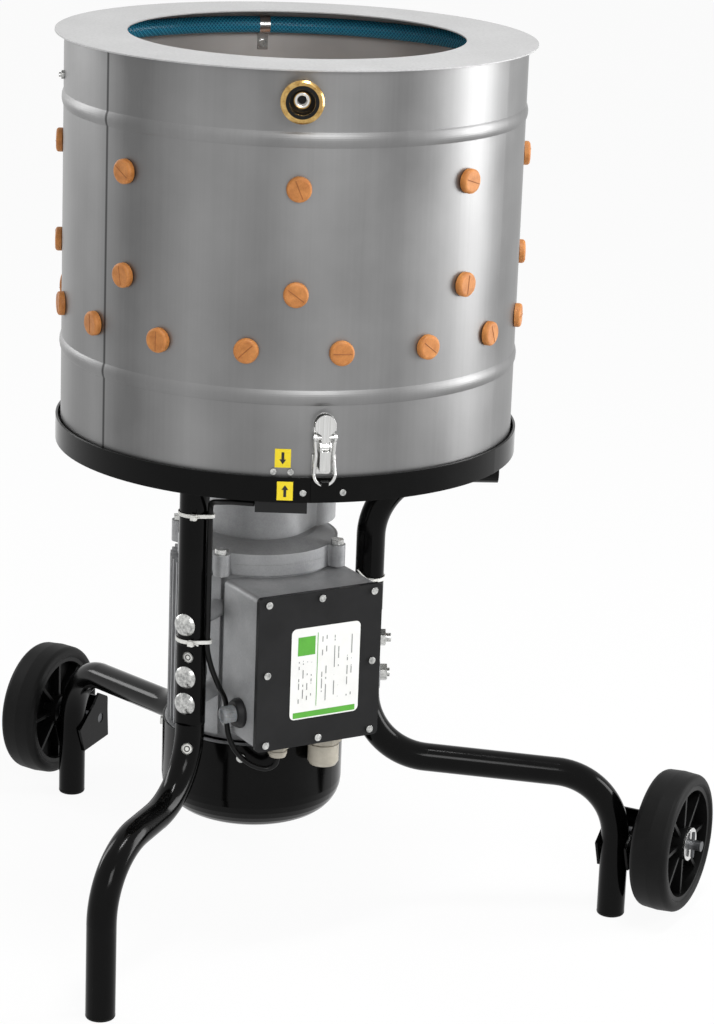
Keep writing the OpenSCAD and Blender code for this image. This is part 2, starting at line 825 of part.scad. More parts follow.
// Lower piece: a tongue inside the flattened upright, then bend, run, bend and foot
module lower_leg(turn, reach, foot, hole_zs) {
    tongue_w = flat_w - 2 * leg_wall - 2 * loose_fit;
    tongue_d = flat_d - 2 * leg_wall - 2 * loose_fit;
    span = (foot - reach) / cos(run_slope) - 2 * bend_reach;
    drop = run_corner_z - (foot - reach) * tan(run_slope) - bend_reach - plug_h;
    place("#101010") about_motor(turn) translate([reach, 0, joint_z]) {
        rotate([180, 0, 0]) tube_path([[collar_h, bend_angle], [span, -bend_angle], [drop, 0]]);
        translate([0, 0, 1 - collar_h]) tube(leg_r - 1, tongue_d / 2 - 5, collar_h - 2);
        difference() {
            translate([0, 0, 2 - collar_h]) oval_tube(tongue_w, tongue_d, leg_wall, flat_top_z - joint_z - 4);
            for (z = hole_zs) if (z < flat_top_z - 10)
                translate([0, 0, z - joint_z]) rod_x(bolt_d / 2 + loose_fit, -leg_od, leg_od);
        }
    }
}

module front_lower_leg() {
    lower_leg(leg_turns[0], front_leg_r, front_foot_r, bolt_zs);
}

module right_lower_leg() {
    lower_leg(leg_turns[1], rear_leg_r, rear_foot_r, stud_zs);
}

module left_lower_leg() {
    lower_leg(leg_turns[2], rear_leg_r, rear_foot_r, stud_zs);
}

module foot_plugs() {
    feet = [front_foot_r, rear_foot_r, rear_foot_r];
    plug_r = leg_r - leg_wall - 0.1;
    place("#1c1c1c") for (i = [0:2]) about_motor(leg_turns[i]) translate([feet[i], 0, 0])
        rotate_extrude() polygon(concat(
            [[0, 0]],
            arc([leg_r - 3, 3], 3, -90, 0, 5),
            [[leg_r, plug_h], [plug_r, plug_h], [plug_r, plug_h + 14], [0, plug_h + 14]]
        ));
}

// Dome-head bolt along -X from its seat at x = 0
module dome_bolt(length) {
    dome_h = 5.5;
    dome_r = (head_r * head_r + dome_h * dome_h) / (2 * dome_h);
    rotate([0, 90, 0]) rotate_extrude() polygon(concat(
        [[0, -length], [bolt_d / 2, -length], [bolt_d / 2, 0]],
        arc([0, dome_h - dome_r], dome_r, 90 - asin(head_r / dome_r), 90, 8)
    ));
}

// Three dome-head bolts in the front upright, two studs in each rear one
module leg_bolts() {
    place("lightgray") {
        for (i = [0:2]) about_motor(leg_turns[0]) translate([0, 0, bolt_zs[i]]) {
            seat = front_leg_r + (i == 0 ? leg_r : flat_d / 2);
            nut_end = front_leg_r - flat_d / 2 - nut_h - 3;
            inner = i == 1 ? nut_end : boss_end(front_leg_r, i == 0) - bolt_thread;
            translate([seat, 0, 0]) dome_bolt(seat - inner);
        }
        for (a = [leg_turns[1], leg_turns[2]], z = stud_zs) about_motor(a) translate([0, 0, z])
            rod_x(bolt_d / 2, boss_end(rear_leg_r, false) - bolt_thread, rear_leg_r + flat_d / 2 + nut_h + 6);
    }
}
function boss_end(reach, is_round) = reach - (is_round ? leg_r : flat_d / 2);

module hex_nut(x0) {
    difference() {
        translate([x0, 0, 0]) hex_x(nut_w, nut_h);
        rod_x(bolt_d / 2 + 0.1, x0 - 1, x0 + nut_h + 1);
    }
}

module leg_nuts() {
    place("gray") {
        about_motor(leg_turns[0]) translate([0, 0, bolt_zs[1]]) hex_nut(front_leg_r - flat_d / 2 - nut_h);
        for (a = [leg_turns[1], leg_turns[2]], i = [0, 1]) about_motor(a) translate([0, 0, stud_zs[i]])
            hex_nut(rear_leg_r + flat_d / 2 + (i == 1 ? saddle_t : 0));
    }
}

// Fan-shaped washers under the lower nuts of the rear uprights
module saddle_washers() {
    place("darkgray") for (a = [leg_turns[1], leg_turns[2]]) about_motor(a)
        translate([rear_leg_r + flat_d / 2, 0, stud_zs[1]]) difference() {
            plate_x(saddle_t) {
                circle(r = 13);
                translate([-13, -14]) square([26, 14]);
            }
            rod_x(bolt_d / 2 + loose_fit, -1, saddle_t + 1);
        }
}

module mirrored(side) {
    if (side > 0) children();
    else mirror([1, 0, 0]) children();
}

// U-shaped bracket welded round the rear foot: two plates and a web behind
module wheel_bracket(side) {
    back = axle_y + 19;
    outline = [
        [rear_foot[1] - 13, axle_z - 2], [rear_foot[1] + 20, axle_z + 22], [axle_y - 4, axle_z + 34],
        [back - 3, axle_z + 24],
        [back, axle_z - 28], [rear_foot[1] - 2, axle_z - 32]
    ];
    place("#161616") mirrored(side) difference() {
        union() {
            for (x = [bracket_in_x, bracket_out_x]) translate([x, 0, 0]) plate_x(bracket_t) polygon(outline);
            translate([bracket_in_x, back - bracket_t - 2, axle_z - 26])
                cube([bracket_out_x - bracket_in_x + bracket_t, bracket_t, 48]);
        }
        translate([0, axle_y, axle_z])
            rod_x(axle_r + run_fit, bracket_in_x - 1, bracket_out_x + bracket_t + 1);
    }
}

module right_wheel_bracket() {
    wheel_bracket(1);
}

module left_wheel_bracket() {
    wheel_bracket(-1);
}

module wheel_axles() {
    place("dimgray") for (side = [1, -1]) mirrored(side) translate([0, axle_y, axle_z]) {
        rod_x(axle_r, bracket_in_x + 1, wheel_x + wheel_w / 2 + axle_stub);
        rod_x(axle_r + 4, bracket_out_x + bracket_t, wheel_x - hub_len / 2 - loose_fit);
        translate([wheel_x + hub_len / 2 + 6, 0, 0]) cylinder(r = 2, h = 30, center = true);
    }
}

module axle_washers() {
    place("silver") for (side = [1, -1]) mirrored(side) translate([0, axle_y, axle_z]) difference() {
        rod_x(boss_r, wheel_x + hub_len / 2 + loose_fit, wheel_x + hub_len / 2 + 3);
        rod_x(axle_r + run_fit, wheel_x, wheel_x + wheel_w);
    }
}

// Ribbed hub: boss, web, rim and ribs on both faces
module wheel_hub(side) {
    place("#0c0c0c") mirrored(side) translate([wheel_x, axle_y, axle_z]) rotate([0, 90, 0]) difference() {
        union() {
            translate([0, 0, -hub_len / 2]) cylinder(r = boss_r, h = hub_len);
            translate([0, 0, -3]) cylinder(r = rim_in_r + 1, h = 6);
            translate([0, 0, -hub_len / 2]) tube(tyre_in_r, rim_in_r, hub_len);
            for (k = [0:wheel_ribs - 1]) rotate([0, 0, 360 * k / wheel_ribs])
                translate([boss_r - 2, -2, -hub_len / 2 + 5]) cube([rim_in_r - boss_r + 3, 4, hub_len - 10]);
        }
        translate([0, 0, -hub_len]) cylinder(r = axle_r + run_fit, h = 2 * hub_len);
    }
}

module tyre(side) {
    round_r = 8;
    half = wheel_w / 2;
    place("#202020") mirrored(side) translate([wheel_x, axle_y, axle_z]) rotate([0, 90, 0])
        rotate_extrude() polygon(concat(
            [[tyre_in_r, -hub_len / 2], [tyre_in_r + 3, -half]],
            arc([wheel_r - round_r - 1, round_r - half], round_r, -90, -10, 6),
            [[wheel_r, 0]],
            arc([wheel_r - round_r - 1, half - round_r], round_r, 10, 90, 6),
            [[tyre_in_r + 3, half], [tyre_in_r, hub_len / 2]]
        ));
}

module right_wheel_hub() {
    wheel_hub(1);
}

module left_wheel_hub() {
    wheel_hub(-1);
}

module right_tyre() {
    tyre(1);
}

module left_tyre() {
    tyre(-1);
}

module safety_sensor() {
    place("#151515") about_drum(sensor_turn)
        translate([ring_r - ring_wall - sensor_size[0], -sensor_size[1] / 2, ring_z - sensor_size[2]])
            cube(sensor_size);
}

module sensor_magnet() {
    place("#222222") about_drum(sensor_turn) difference() {
        translate([drum_in_r - sagitta(magnet_size[1]) - 1 - magnet_size[0], -magnet_size[1] / 2,
                   floor_z + magnet_h - magnet_size[2] / 2]) cube(magnet_size);
        for (y = [-1, 1]) translate([0, y * 9, floor_z + magnet_h])
            rod_x(screw_hole_r, drum_in_r - 20, drum_r);
    }
}

// Directions along the lead and a steady frame across it
function lead_dir(i) =
    let (n = len(lead_points) - 1, a = lead_points[max(i - 1, 0)], b = lead_points[min(i + 1, n)])
    (b - a) / norm(b - a);
function unit(v) = v / norm(v);
function lead_ring(i) =
    let (d = lead_dir(i), u = unit(cross(d, [0.3, 1, 0.1])), v = cross(d, u))
    [for (k = [0:lead_sides - 1])
        lead_points[i] + lead_r * (u * cos(360 * k / lead_sides) + v * sin(360 * k / lead_sides))];

module sensor_lead() {
    rings = len(lead_points);
    last = (rings - 1) * lead_sides;
    points = [for (i = [0:rings - 1]) each lead_ring(i)];
    sides = [
        for (i = [0:rings - 2], k = [0:lead_sides - 1])
            let (a = i * lead_sides + k, b = i * lead_sides + (k + 1) % lead_sides)
            each [[a, b, b + lead_sides], [a, b + lead_sides, a + lead_sides]]
    ];
    start = [for (k = [1:lead_sides - 2]) [0, k + 1, k]];
    end = [for (k = [1:lead_sides - 2]) [last, last + k, last + k + 1]];
    place("#181818") polyhedron(points, concat(sides, start, end));
}

// Ties: two hold the lead to the front upright, one is on the right upright
module tie_band(gap, turn) {
    linear_extrude(4, center = true) difference() {
        hull() {
            circle(r = leg_r + 1.4, $fn = 32);
            rotate([0, 0, turn]) translate([gap, 0]) circle(r = lead_r + 1.7, $fn = 16);
        }
        hull() {
            circle(r = leg_r + 0.3, $fn = 32);
            rotate([0, 0, turn]) translate([gap, 0]) circle(r = lead_r + 0.6, $fn = 16);
        }
    }
}

module cable_ties() {
    place("whitesmoke") {
        for (z = [510, flat_top_z + 5]) about_motor(leg_turns[0]) translate([front_leg_r, 0, z]) {
            tie_band(20.3, 86);
            translate([leg_r - 0.4, 6, -3]) cube([5, 6, 6]);
        }
        about_motor(leg_turns[1]) translate([rear_leg_r, 0, 400]) {
            tube(leg_r + 1.4, leg_r + 0.3, 4);
            translate([-2, -leg_r - 5, -1]) cube([6, 4.5, 6]);
        }
    }
}

// Lower half of the flange with ears, cone and the case round both gears
module gear_case() {
    place("darkgray") difference() {
        union() {
            about_motor(0) {
                translate([0, 0, flange_z]) cylinder(r = flange_r, h = flange_t);
                translate([0, 0, case_z]) cylinder(r1 = flange_r - 3, r2 = pinion_case_r + 10, h = neck_h);
                translate([0, 0, case_z]) cylinder(r = pinion_case_r, h = ring_z - case_z);
            }
            translate([0, 0, case_z + neck_h - 1]) cylinder(r = case_r, h = ring_z - case_z - neck_h + 1);
            translate([-pinion_case_r, -motor_offset, case_z + neck_h - 1])
                cube([2 * pinion_case_r, motor_offset, ring_z - case_z - neck_h + 1]);
            ears(flange_z, flange_t);
        }
        translate([0, 0, cavity_z]) cylinder(r = gear_tip_r + gear_room, h = cavity_h);
        translate([0, 0, cavity_z - bearing_h]) cylinder(r = output_bearing_r, h = bearing_h + 1);
        translate([0, 0, cavity_z + cavity_h - 1]) cylinder(r = output_bearing_r, h = bearing_h + 1);
        translate([0, 0, cavity_z]) cylinder(r = seal_r, h = ring_z);
        about_motor(0) {
            translate([0, 0, flange_z - 1]) cylinder(r = motor_bearing_r, h = bearing_h + 1);
            translate([0, 0, flange_z]) cylinder(r = motor_shaft_r + 4, h = cavity_z - flange_z + cavity_h);
        }
        ear_holes(flange_z - 1, flange_t + 2);
        for (p = hub_bolts) translate([p[0], p[1], ring_z - 20]) cylinder(r = m8_hole_r, h = 30);
    }
}

// Four bolted ears round the motor flange
module ears(z, h) {
    for (a = ear_turns) about_motor(a) {
        translate([ear_at, 0, z]) cylinder(r = ear_r, h = h);
        translate([ear_at - 20, 1 - ear_r, z]) cube([20, 2 * ear_r - 2, h]);
    }
}

module ear_holes(z, h) {
    for (a = ear_turns) about_motor(a) translate([ear_at, 0, z]) cylinder(r = m8_hole_r, h = h);
}

// Flange bolts, and the three bolts down into the gear case
module case_bolts() {
    place("lightgray") {
        for (a = ear_turns) about_motor(a) translate([ear_at, 0, 0]) {
            translate([0, 0, flange_z - flange_t - 2]) cylinder(r = 4, h = 2 * flange_t + 6);
            translate([0, 0, case_z]) cylinder(d = m8_head_w / cos(30), h = m8_head_h, $fn = 6);
        }
        for (p = hub_bolts) translate([p[0], p[1], 0]) {
            translate([0, 0, ring_z - 20]) cylinder(r = 4, h = 20 + floor_t);
            translate([0, 0, floor_z]) cylinder(d = m8_head_w / cos(30), h = m8_head_h, $fn = 6);
        }
    }
}

module bearing(r_out, r_in) {
    rotate_extrude() polygon([
        [r_in, 0], [r_in + 4, 0], [r_in + 5, 1], [r_out - 5, 1], [r_out - 4, 0], [r_out, 0],
        [r_out, bearing_h], [r_out - 4, bearing_h], [r_out - 5, bearing_h - 1],
        [r_in + 5, bearing_h - 1], [r_in + 4, bearing_h], [r_in, bearing_h]
    ]);
}

module ball_bearings() {
    place("lightgray") {
        for (z = [cavity_z - bearing_h, cavity_z + cavity_h]) translate([0, 0, z])
            bearing(output_bearing_r, shaft_r + run_fit);
        for (z = [flange_z, motor_z]) about_motor(0) translate([0, 0, z])
            bearing(motor_bearing_r, motor_shaft_r + run_fit);
    }
}

module shaft_seal() {
    place("#202020") translate([0, 0, cavity_z + cavity_h + bearing_h])
        tube(seal_r, shaft_r + run_fit, ring_z - cavity_z - cavity_h - bearing_h);
}

// Output shaft with the collar under the plate and a threaded end above it
module output_shaft() {
    place("silver") {
        translate([0, 0, cavity_z - bearing_h]) cylinder(r = shaft_r, h = plate_z - cavity_z + bearing_h);
        translate([0, 0, plate_z - 8]) cylinder(r = 32, h = 8);
        translate([0, 0, plate_z - 1]) cylinder(r = 9.9, h = plate_t + 19);
        translate([0, 0, plate_z + plate_t]) cylinder(r = 22, h = 3);
        translate([0, 0, plate_z + plate_t + 3]) cylinder(d = 30 / cos(30), h = 13, $fn = 6);
    }
}

module output_gear() {
    place("slategray") translate([0, 0, gear_z]) linear_extrude(gear_w) difference() {
        rotate([0, 0, -90]) polygon(gear_points(gear_teeth, -shift));
        circle(r = shaft_r);
    }
}

module rotor_plate() {
    place("silver") difference() {
        translate([0, 0, plate_z]) cylinder(r = plate_d / 2, h = plate_t);
        translate([0, 0, plate_z - 1]) cylinder(r = 10, h = plate_t + 2);
        plate_spots() cylinder(r = finger_neck_d / 2, h = 4 * plate_t, center = true);
    }
}

module plate_spots() {
    for (k = [0:outer_fingers - 1]) rotate([0, 0, 360 * k / outer_fingers])
        translate([outer_finger_r, 0, plate_z]) children();
    for (k = [0:inner_fingers - 1]) rotate([0, 0, 360 * k / inner_fingers + 15])
        translate([inner_finger_r, 0, plate_z]) children();
}

module plate_fingers() {
    place("peru") plate_spots() rotate([0, -90, 0]) finger(plate_t);
}

// Motor shaft with the pinion cut on its upper end and the rotor core pressed on
module motor_shaft() {
    place("slategray") about_motor(0) {
        translate([0, 0, cover_z + 22]) cylinder(r = motor_shaft_r, h = flange_z + bearing_h - cover_z - 22);
        translate([0, 0, flange_z + 2]) cylinder(r = 7, h = gear_z - flange_z);
        translate([0, 0, gear_z - 2]) linear_extrude(gear_w + 4)
            rotate([0, 0, 90 + 180 / pinion_teeth]) polygon(gear_points(pinion_teeth, shift));
        translate([0, 0, motor_z + 38]) cylinder(r = 45, h = 110);
    }
}

module stator() {
    place("sienna") about_motor(0) translate([0, 0, motor_z + 34]) tube(stator_r, 46, 118);
}

module cooling_fan() {
    place("#303030") about_motor(0) translate([0, 0, cover_z + 28]) difference() {
        union() {
            cylinder(r = 24, h = 40);
            cylinder(r = 78, h = 3);
            for (k = [0:7]) rotate([0, 0, 45 * k]) translate([20, -1.5, 0]) cube([58, 3, 38]);
        }
        translate([0, 0, -1]) cylinder(r = motor_shaft_r, h = 60);
    }
}

// Barrel, end wall, fan-cover spigot and top flange, turned as one outline
module motor_barrel() {
    spigot_r = cover_r - 2.5;
    shaft_hole_r = motor_shaft_r + 4;
    rotate_extrude() polygon([
        [shaft_hole_r, motor_z + bearing_h], [motor_bearing_r, motor_z + bearing_h],
        [motor_bearing_r, motor_z], [spigot_r - 8, motor_z], [spigot_r - 8, motor_z - 20],
        [spigot_r, motor_z - 20], [spigot_r, motor_z], [barrel_r, motor_z],
        [barrel_r, flange_z - flange_t], [flange_r, flange_z - flange_t], [flange_r, flange_z],
        [stator_r, flange_z], [stator_r, motor_z + 20], [shaft_hole_r, motor_z + 20]
    ]);
}

module motor_housing() {
    front_zs = [bolt_zs[0], bolt_zs[2]];
    rear_turns = [leg_turns[1], leg_turns[2]];
    place("darkgray") difference() {
        union() {
            about_motor(46) motor_barrel();
            for (a = fin_turns) about_motor(a) translate([barrel_r - 3, -fin_t / 2, motor_z + 2])
                cube([fin_tip_r - barrel_r + 3, fin_t, flange_z - flange_t - motor_z - 4]);
            ears(flange_z - flange_t, flange_t);
            for (z = front_zs) about_motor(leg_turns[0]) translate([0, 0, z])
                rod_x(10, barrel_r - 6, boss_end(front_leg_r, z == bolt_zs[0]));
            for (a = rear_turns, z = stud_zs) about_motor(a) translate([0, 0, z])
                rod_x(10, barrel_r - 6, boss_end(rear_leg_r, false));
            about_motor(leg_turns[0]) translate([barrel_r - 8, -17, motor_z + 6])
                cube([14, 21, flange_z - flange_t - motor_z - 10]);
        }
        ear_holes(flange_z - flange_t - 1, flange_t + 2);
        for (z = front_zs) about_motor(leg_turns[0]) translate([0, 0, z])
            rod_x(bolt_d / 2, boss_end(front_leg_r, z == bolt_zs[0]) - bolt_thread, front_leg_r);
        for (a = rear_turns, z = stud_zs) about_motor(a) translate([0, 0, z])
            rod_x(bolt_d / 2, boss_end(rear_leg_r, false) - bolt_thread, rear_leg_r);
        for (a = fan_screw_turns) about_motor(a) translate([0, 0, fan_screw_z])
            rod_x(2.2, cover_r - 14, cover_r + 5);
    }
}

// Domed cover with a slotted underside
module fan_cover() {
    wall = 2;
    corner = [cover_r - cover_round, cover_z + cover_round];
    place("#121212") about_motor(0) difference() {
        rotate_extrude() polygon(concat(
            [[0, cover_z]],
            arc(corner, cover_round, -90, 0, 8),
            [[cover_r, motor_z], [cover_r - wall, motor_z]],
            arc(corner, cover_round - wall, 0, -90, 8),
            [[0, cover_z + wall]]
        ));
        for (k = [0:15], r = [22, 44]) rotate([0, 0, 22.5 * k + r])
            translate([r, -2, cover_z - 1]) cube([14, 4, wall + 2]);
        for (a = fan_screw_turns) rotate([0, 0, a]) translate([0, 0, fan_screw_z])
            rod_x(2.4, cover_r - 10, cover_r + 5);
    }
}

module box_frame() {
    about_motor(box_turn) children();
}

// Cast box on the motor's barrel, open at the front, with pillars for the cover screws
module box_base() {
    h = box_h - 4;
    place("darkgray") box_frame() difference() {
        union() {
            difference() {
                translate([box_in, 0, box_z]) plate_x(lid_z - box_in) round_rect(2 * box_half, h, 6);
                translate([barrel_r + 8, 0, box_z]) plate_x(lid_z)
                    round_rect(2 * box_half - 2 * box_wall, h - 2 * box_wall, 4);
            }
            intersection() {
                translate([box_in, 0, box_z]) plate_x(lid_z - box_in) round_rect(2 * box_half, h, 6);
                for (p = lid_screws) translate([0, p[0], box_z + p[1]]) rod_x(6, barrel_r + 4, lid_z);
            }
        }
        translate([0, 0, motor_z]) cylinder(r = barrel_r + loose_fit, h = flange_z - motor_z);
        for (p = lid_screws) translate([0, p[0], box_z + p[1]]) rod_x(2.1, lid_z - 16, lid_z + 1);
        translate([gland_n, mains_t, box_floor_z - 1]) cylinder(r = 8, h = box_wall + 2);
        translate([gland_n, lead_t, box_floor_z - 1]) cylinder(r = lead_r + 0.4, h = box_wall + 2);
    }
}

module box_cover() {
    place("#151515") box_frame() difference() {
        translate([lid_z, 0, box_z]) plate_x(lid_t) round_rect(box_w, box_h, 5);
        translate([lid_z - 1, 0, box_z]) plate_x(lid_t - 2) round_rect(box_w - 44, box_h - 44, 5);
        for (p = lid_screws) translate([0, p[0], box_z + p[1]]) rod_x(2.4, lid_z - 1, box_reach + 1);
    }
}

// Screws of the box cover and of the fan cover
module pan_screws() {
    place("gainsboro") {
        for (p = lid_screws) box_frame() translate([0, p[0], box_z + p[1]]) {
            rod_x(2, lid_z - 14, box_reach + 1);
            rod_x(4, box_reach, box_reach + 2.6);
        }
        for (a = fan_screw_turns) about_motor(a) translate([0, 0, fan_screw_z]) {
            rod_x(2, cover_r - 10, cover_r + 1);
            rod_x(5, cover_r + 0.1, cover_r + 3);
        }
    }
}

// Button on the box's left wall: fixed bezel and the knob that slides in it
module at_button() {
    box_frame() translate([button_n, -box_half, button_z]) children();
}

module button_bezel() {
    place("#161616") at_button() difference() {
        rotate([90, 0, 0]) rotate_extrude() polygon([
            [0, 0], [16.5, 0], [16.5, 3], [14, bezel_h], [0, bezel_h]
        ]);
        rod_y(button_d / 2 + run_fit, -bezel_h - 1, 1);
    }
}

module push_button() {
    tip = button_travel + 0.5 + button_len;
    place("lightslategray") at_button() rotate([90, 0, 0]) rotate_extrude() polygon([
        [0, button_travel + 0.5], [button_d / 2, button_travel + 0.5], [button_d / 2, tip - 2],
        [button_d / 2 - 2, tip], [0, tip]
    ]);
}

// Cable glands under the box
module gland(t, size, bore, length) {
    translate([gland_n, t, box_floor_z - length]) difference() {
        union() {
            translate([0, 0, length - 14]) cylinder(d = size / cos(30), h = 14, $fn = 6);
            translate([0, 0, length - 18]) cylinder(d = size * 0.9, h = 5);
            translate([0, 0, 4]) cylinder(d = size, h = length - 20);
            cylinder(d1 = size * 0.86, d2 = size, h = 4);
        }
        translate([0, 0, -1]) cylinder(r = bore, h = length + 2);
    }
}

module cable_glands() {
    place("antiquewhite") box_frame() {
        gland(mains_t, 34, 8, mains_gland_len);
        gland(lead_t, 21, lead_r + 0.4, lead_gland_len);
    }
}

base_ring();
front_upper_leg();
right_upper_leg();
left_upper_leg();
front_lower_leg();
right_lower_leg();
left_lower_leg();
foot_plugs();
leg_bolts();
leg_nuts();
saddle_washers();
right_wheel_bracket();
left_wheel_bracket();
wheel_axles();
axle_washers();
right_wheel_hub();
right_tyre();
left_wheel_hub();
left_tyre();
drum_shell();
rim_ring();
fingers_top();
fingers_middle();
fingers_bottom();
inlet_fitting();
inlet_locknut();
hose_ring();
hose_clips();
drum_screws();
latch_plates();
latch_keepers();
latch_lever_front();
latch_lever_right();
latch_lever_left();
latch_bail_front();
latch_bail_right();
latch_bail_left();
safety_sensor();
sensor_magnet();
sensor_lead();
cable_ties();
gear_case();
case_bolts();
ball_bearings();
shaft_seal();
motor_housing();
stator();
fan_cover();
pan_screws();
box_base();
box_cover();
button_bezel();
push_button();
cable_glands();
output_shaft();
output_gear();
rotor_plate();
plate_fingers();
motor_shaft();
cooling_fan();
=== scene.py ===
# %% [markdown]
# # Dressing a drum poultry plucker
# The solids of this machine come ready made: drum, base ring, legs, motor, wheels and latches.
# This lesson gives them a camera, their finishes, a plain studio, and the soft or printed pieces
# that solids can't show: a braided hose, the sensor's cable, stickers, a label and small marks.

# %% Load the solids
import math

import bpy
import numpy as np
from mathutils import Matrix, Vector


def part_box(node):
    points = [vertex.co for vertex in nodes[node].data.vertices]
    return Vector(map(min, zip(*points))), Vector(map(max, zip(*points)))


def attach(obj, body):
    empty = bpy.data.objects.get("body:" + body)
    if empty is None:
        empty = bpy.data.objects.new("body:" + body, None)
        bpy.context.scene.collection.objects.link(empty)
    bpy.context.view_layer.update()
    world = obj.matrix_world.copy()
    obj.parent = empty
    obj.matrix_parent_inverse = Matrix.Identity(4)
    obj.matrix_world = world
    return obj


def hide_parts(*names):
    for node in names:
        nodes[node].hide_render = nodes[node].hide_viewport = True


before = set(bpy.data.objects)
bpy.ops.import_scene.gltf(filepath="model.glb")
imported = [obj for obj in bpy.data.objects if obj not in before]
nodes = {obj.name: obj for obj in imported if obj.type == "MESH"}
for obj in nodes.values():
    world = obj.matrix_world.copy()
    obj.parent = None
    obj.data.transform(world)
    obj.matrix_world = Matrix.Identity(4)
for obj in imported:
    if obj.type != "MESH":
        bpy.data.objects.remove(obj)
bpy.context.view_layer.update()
MM = 0.001
UP = np.array([0, 0, 1.0])
rim_box = np.array(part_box("rim_ring"))
AXIS = np.append(rim_box.mean(axis=0)[:2], 0)

# Sizes that several pieces share, in millimetres and degrees
MOTOR_OFFSET = 58.5
DRUM_R, WALL = 248.5, 1.5
DRUM_TURN = -61.2
RING_R = 254
MOTOR = AXIS - np.array([0, MOTOR_OFFSET, 0]) * MM
print("solids:", len(nodes), "pieces, drum axis at", AXIS.round(4))

# %% [markdown]
# ## Camera
# The view was found by fitting a pinhole camera to the drum's rim, the wheels and the feet. A
# long lens keeps the legs from spreading. The camera's three axes are worked out from its
# heading, its tilt below the horizon and a small roll, and written into its matrix, because a
# matrix holds the roll and the heading together without any order of turns to get wrong.

# %% Camera
SENSOR_MM = 36
FOCAL_PX, PICTURE_H_PX = 3158.93, 1024
FROM_AXIS = np.array([1552.55, -3007.95, 1462.27])
camera_data = bpy.data.cameras.new("camera")
camera_data.sensor_fit = "VERTICAL"
camera_data.sensor_height = SENSOR_MM
camera_data.lens = SENSOR_MM * FOCAL_PX / PICTURE_H_PX
camera_data.clip_end = 60
camera = bpy.data.objects.new("camera", camera_data)
bpy.context.collection.objects.link(camera)

heading, tilt, roll = np.radians([25.9, 16.4535, 2.1396])
forward = np.array([-math.sin(heading) * math.cos(tilt), math.cos(heading) * math.cos(tilt),
                    -math.sin(tilt)])
level = np.array([math.cos(heading), math.sin(heading), 0])
above = np.cross(level, forward)
pose = np.eye(4)
pose[:3, 0] = math.cos(roll) * level + math.sin(roll) * above
pose[:3, 1] = math.cos(roll) * above - math.sin(roll) * level
pose[:3, 2] = -forward
pose[:3, 3] = AXIS + FROM_AXIS * MM
camera.matrix_world = pose.T.tolist()
bpy.context.scene.camera = camera
bpy.context.scene.view_settings.view_transform = "Standard"
print("camera at", pose[:3, 3].round(3))

# %% [markdown]
# ## Helpers for finishes
# Colours are written the way a paint chart gives them, as sRGB hex, and shaders want linear
# light, so one function converts them. One more adds a node, sets its values and joins its
# inputs, which keeps each finish short enough to read as a recipe.

# %% Colour and node helpers
def tone(code):
    """Linear RGBA of an sRGB hex code: a channel up to 0.04045 is divided by 12.92. Above that, 0.055 is
    added, the sum is divided by 1.055 and raised to the power 2.4."""
    srgb = np.array([int(code[i:i + 2], 16) for i in (1, 3, 5)]) / 255
    light = np.where(srgb <= 0.04045, srgb / 12.92, ((srgb + 0.055) / 1.055) ** 2.4)
    return (*light.tolist(), 1.0)


def add(tree, kind, values=None, links=None, **settings):
    """Adds a node of a kind, sets its properties, its sockets' values and what each socket is joined to."""
    made = tree.nodes.new(kind)
    for name, value in settings.items():
        setattr(made, name, value)
    for name, value in (values or {}).items():
        made.inputs[name].default_value = value
    for name, source in (links or {}).items():
        tree.links.new(source, made.inputs[name])
    return made


def new_finish(name):
    """An empty material and its node tree, with the object's own coordinates ready for a recipe."""
    finish = bpy.data.materials.new(name)
    finish.use_nodes = True
    finish.node_tree.nodes.clear()
    place = add(finish.node_tree, "ShaderNodeTexCoord")
    return finish, finish.node_tree, place.outputs["Object"]


def two_tones(tree, source, low, dark, high, light):
    """Colour ramp: the dark tone up to the low value, the light tone from the high value on."""
    ramp = add(tree, "ShaderNodeValToRGB", links={"Fac": source})
    for element, place, code in zip(ramp.color_ramp.elements, (low, high), (dark, light)):
        element.position = place
        element.color = tone(code)
    return ramp.outputs[0]


def skin(tree, height, strength, depth_mm, edge_mm):
    """Normal with a relief of the given depth, laid over edges that catch light as if rounded by edge_mm."""
    edge = add(tree, "ShaderNodeBevel", samples=4, values={"Radius": edge_mm * MM})
    relief = add(tree, "ShaderNodeBump", values={"Strength": strength, "Distance": depth_mm * MM},
                 links={"Height": height, "Normal": edge.outputs[0]})
    return relief.outputs[0]


def close_finish(tree, values, links):
    """Principled shader with set values and joined inputs, joined to the material's output."""
    shader = add(tree, "ShaderNodeBsdfPrincipled", values=values, links=links)
    add(tree, "ShaderNodeOutputMaterial", links={"Surface": shader.outputs[0]})


print("white is", tone("#ffffff"))

# %% [markdown]
# ## Rolled drum sheet
# The drum is rolled from cold-finished stainless. The mill leaves a satin that blurs reflections,
# with broad soft bands up the sheet, fine streaks and handling smudges. Where the sheet's ends
# lap, a dark stripe of painted shadow stands for the lap's shade, and the angle about the drum's
# axis picks it out. The inner wall is rougher, and a paler, less metallic tone on it is painted
# light for the shade inside the drum: it is found by its distance from the axis, which is less
# than the middle of the wall.

# %% Drum sheet
SEAM_DEG = -113.4
# Half-widths in mm of the painted shadow stripe along the seam's lap: full dark core, then fade
SEAM_SHADOW_CORE, SEAM_SHADOW_FADE = 0.9, 2.6


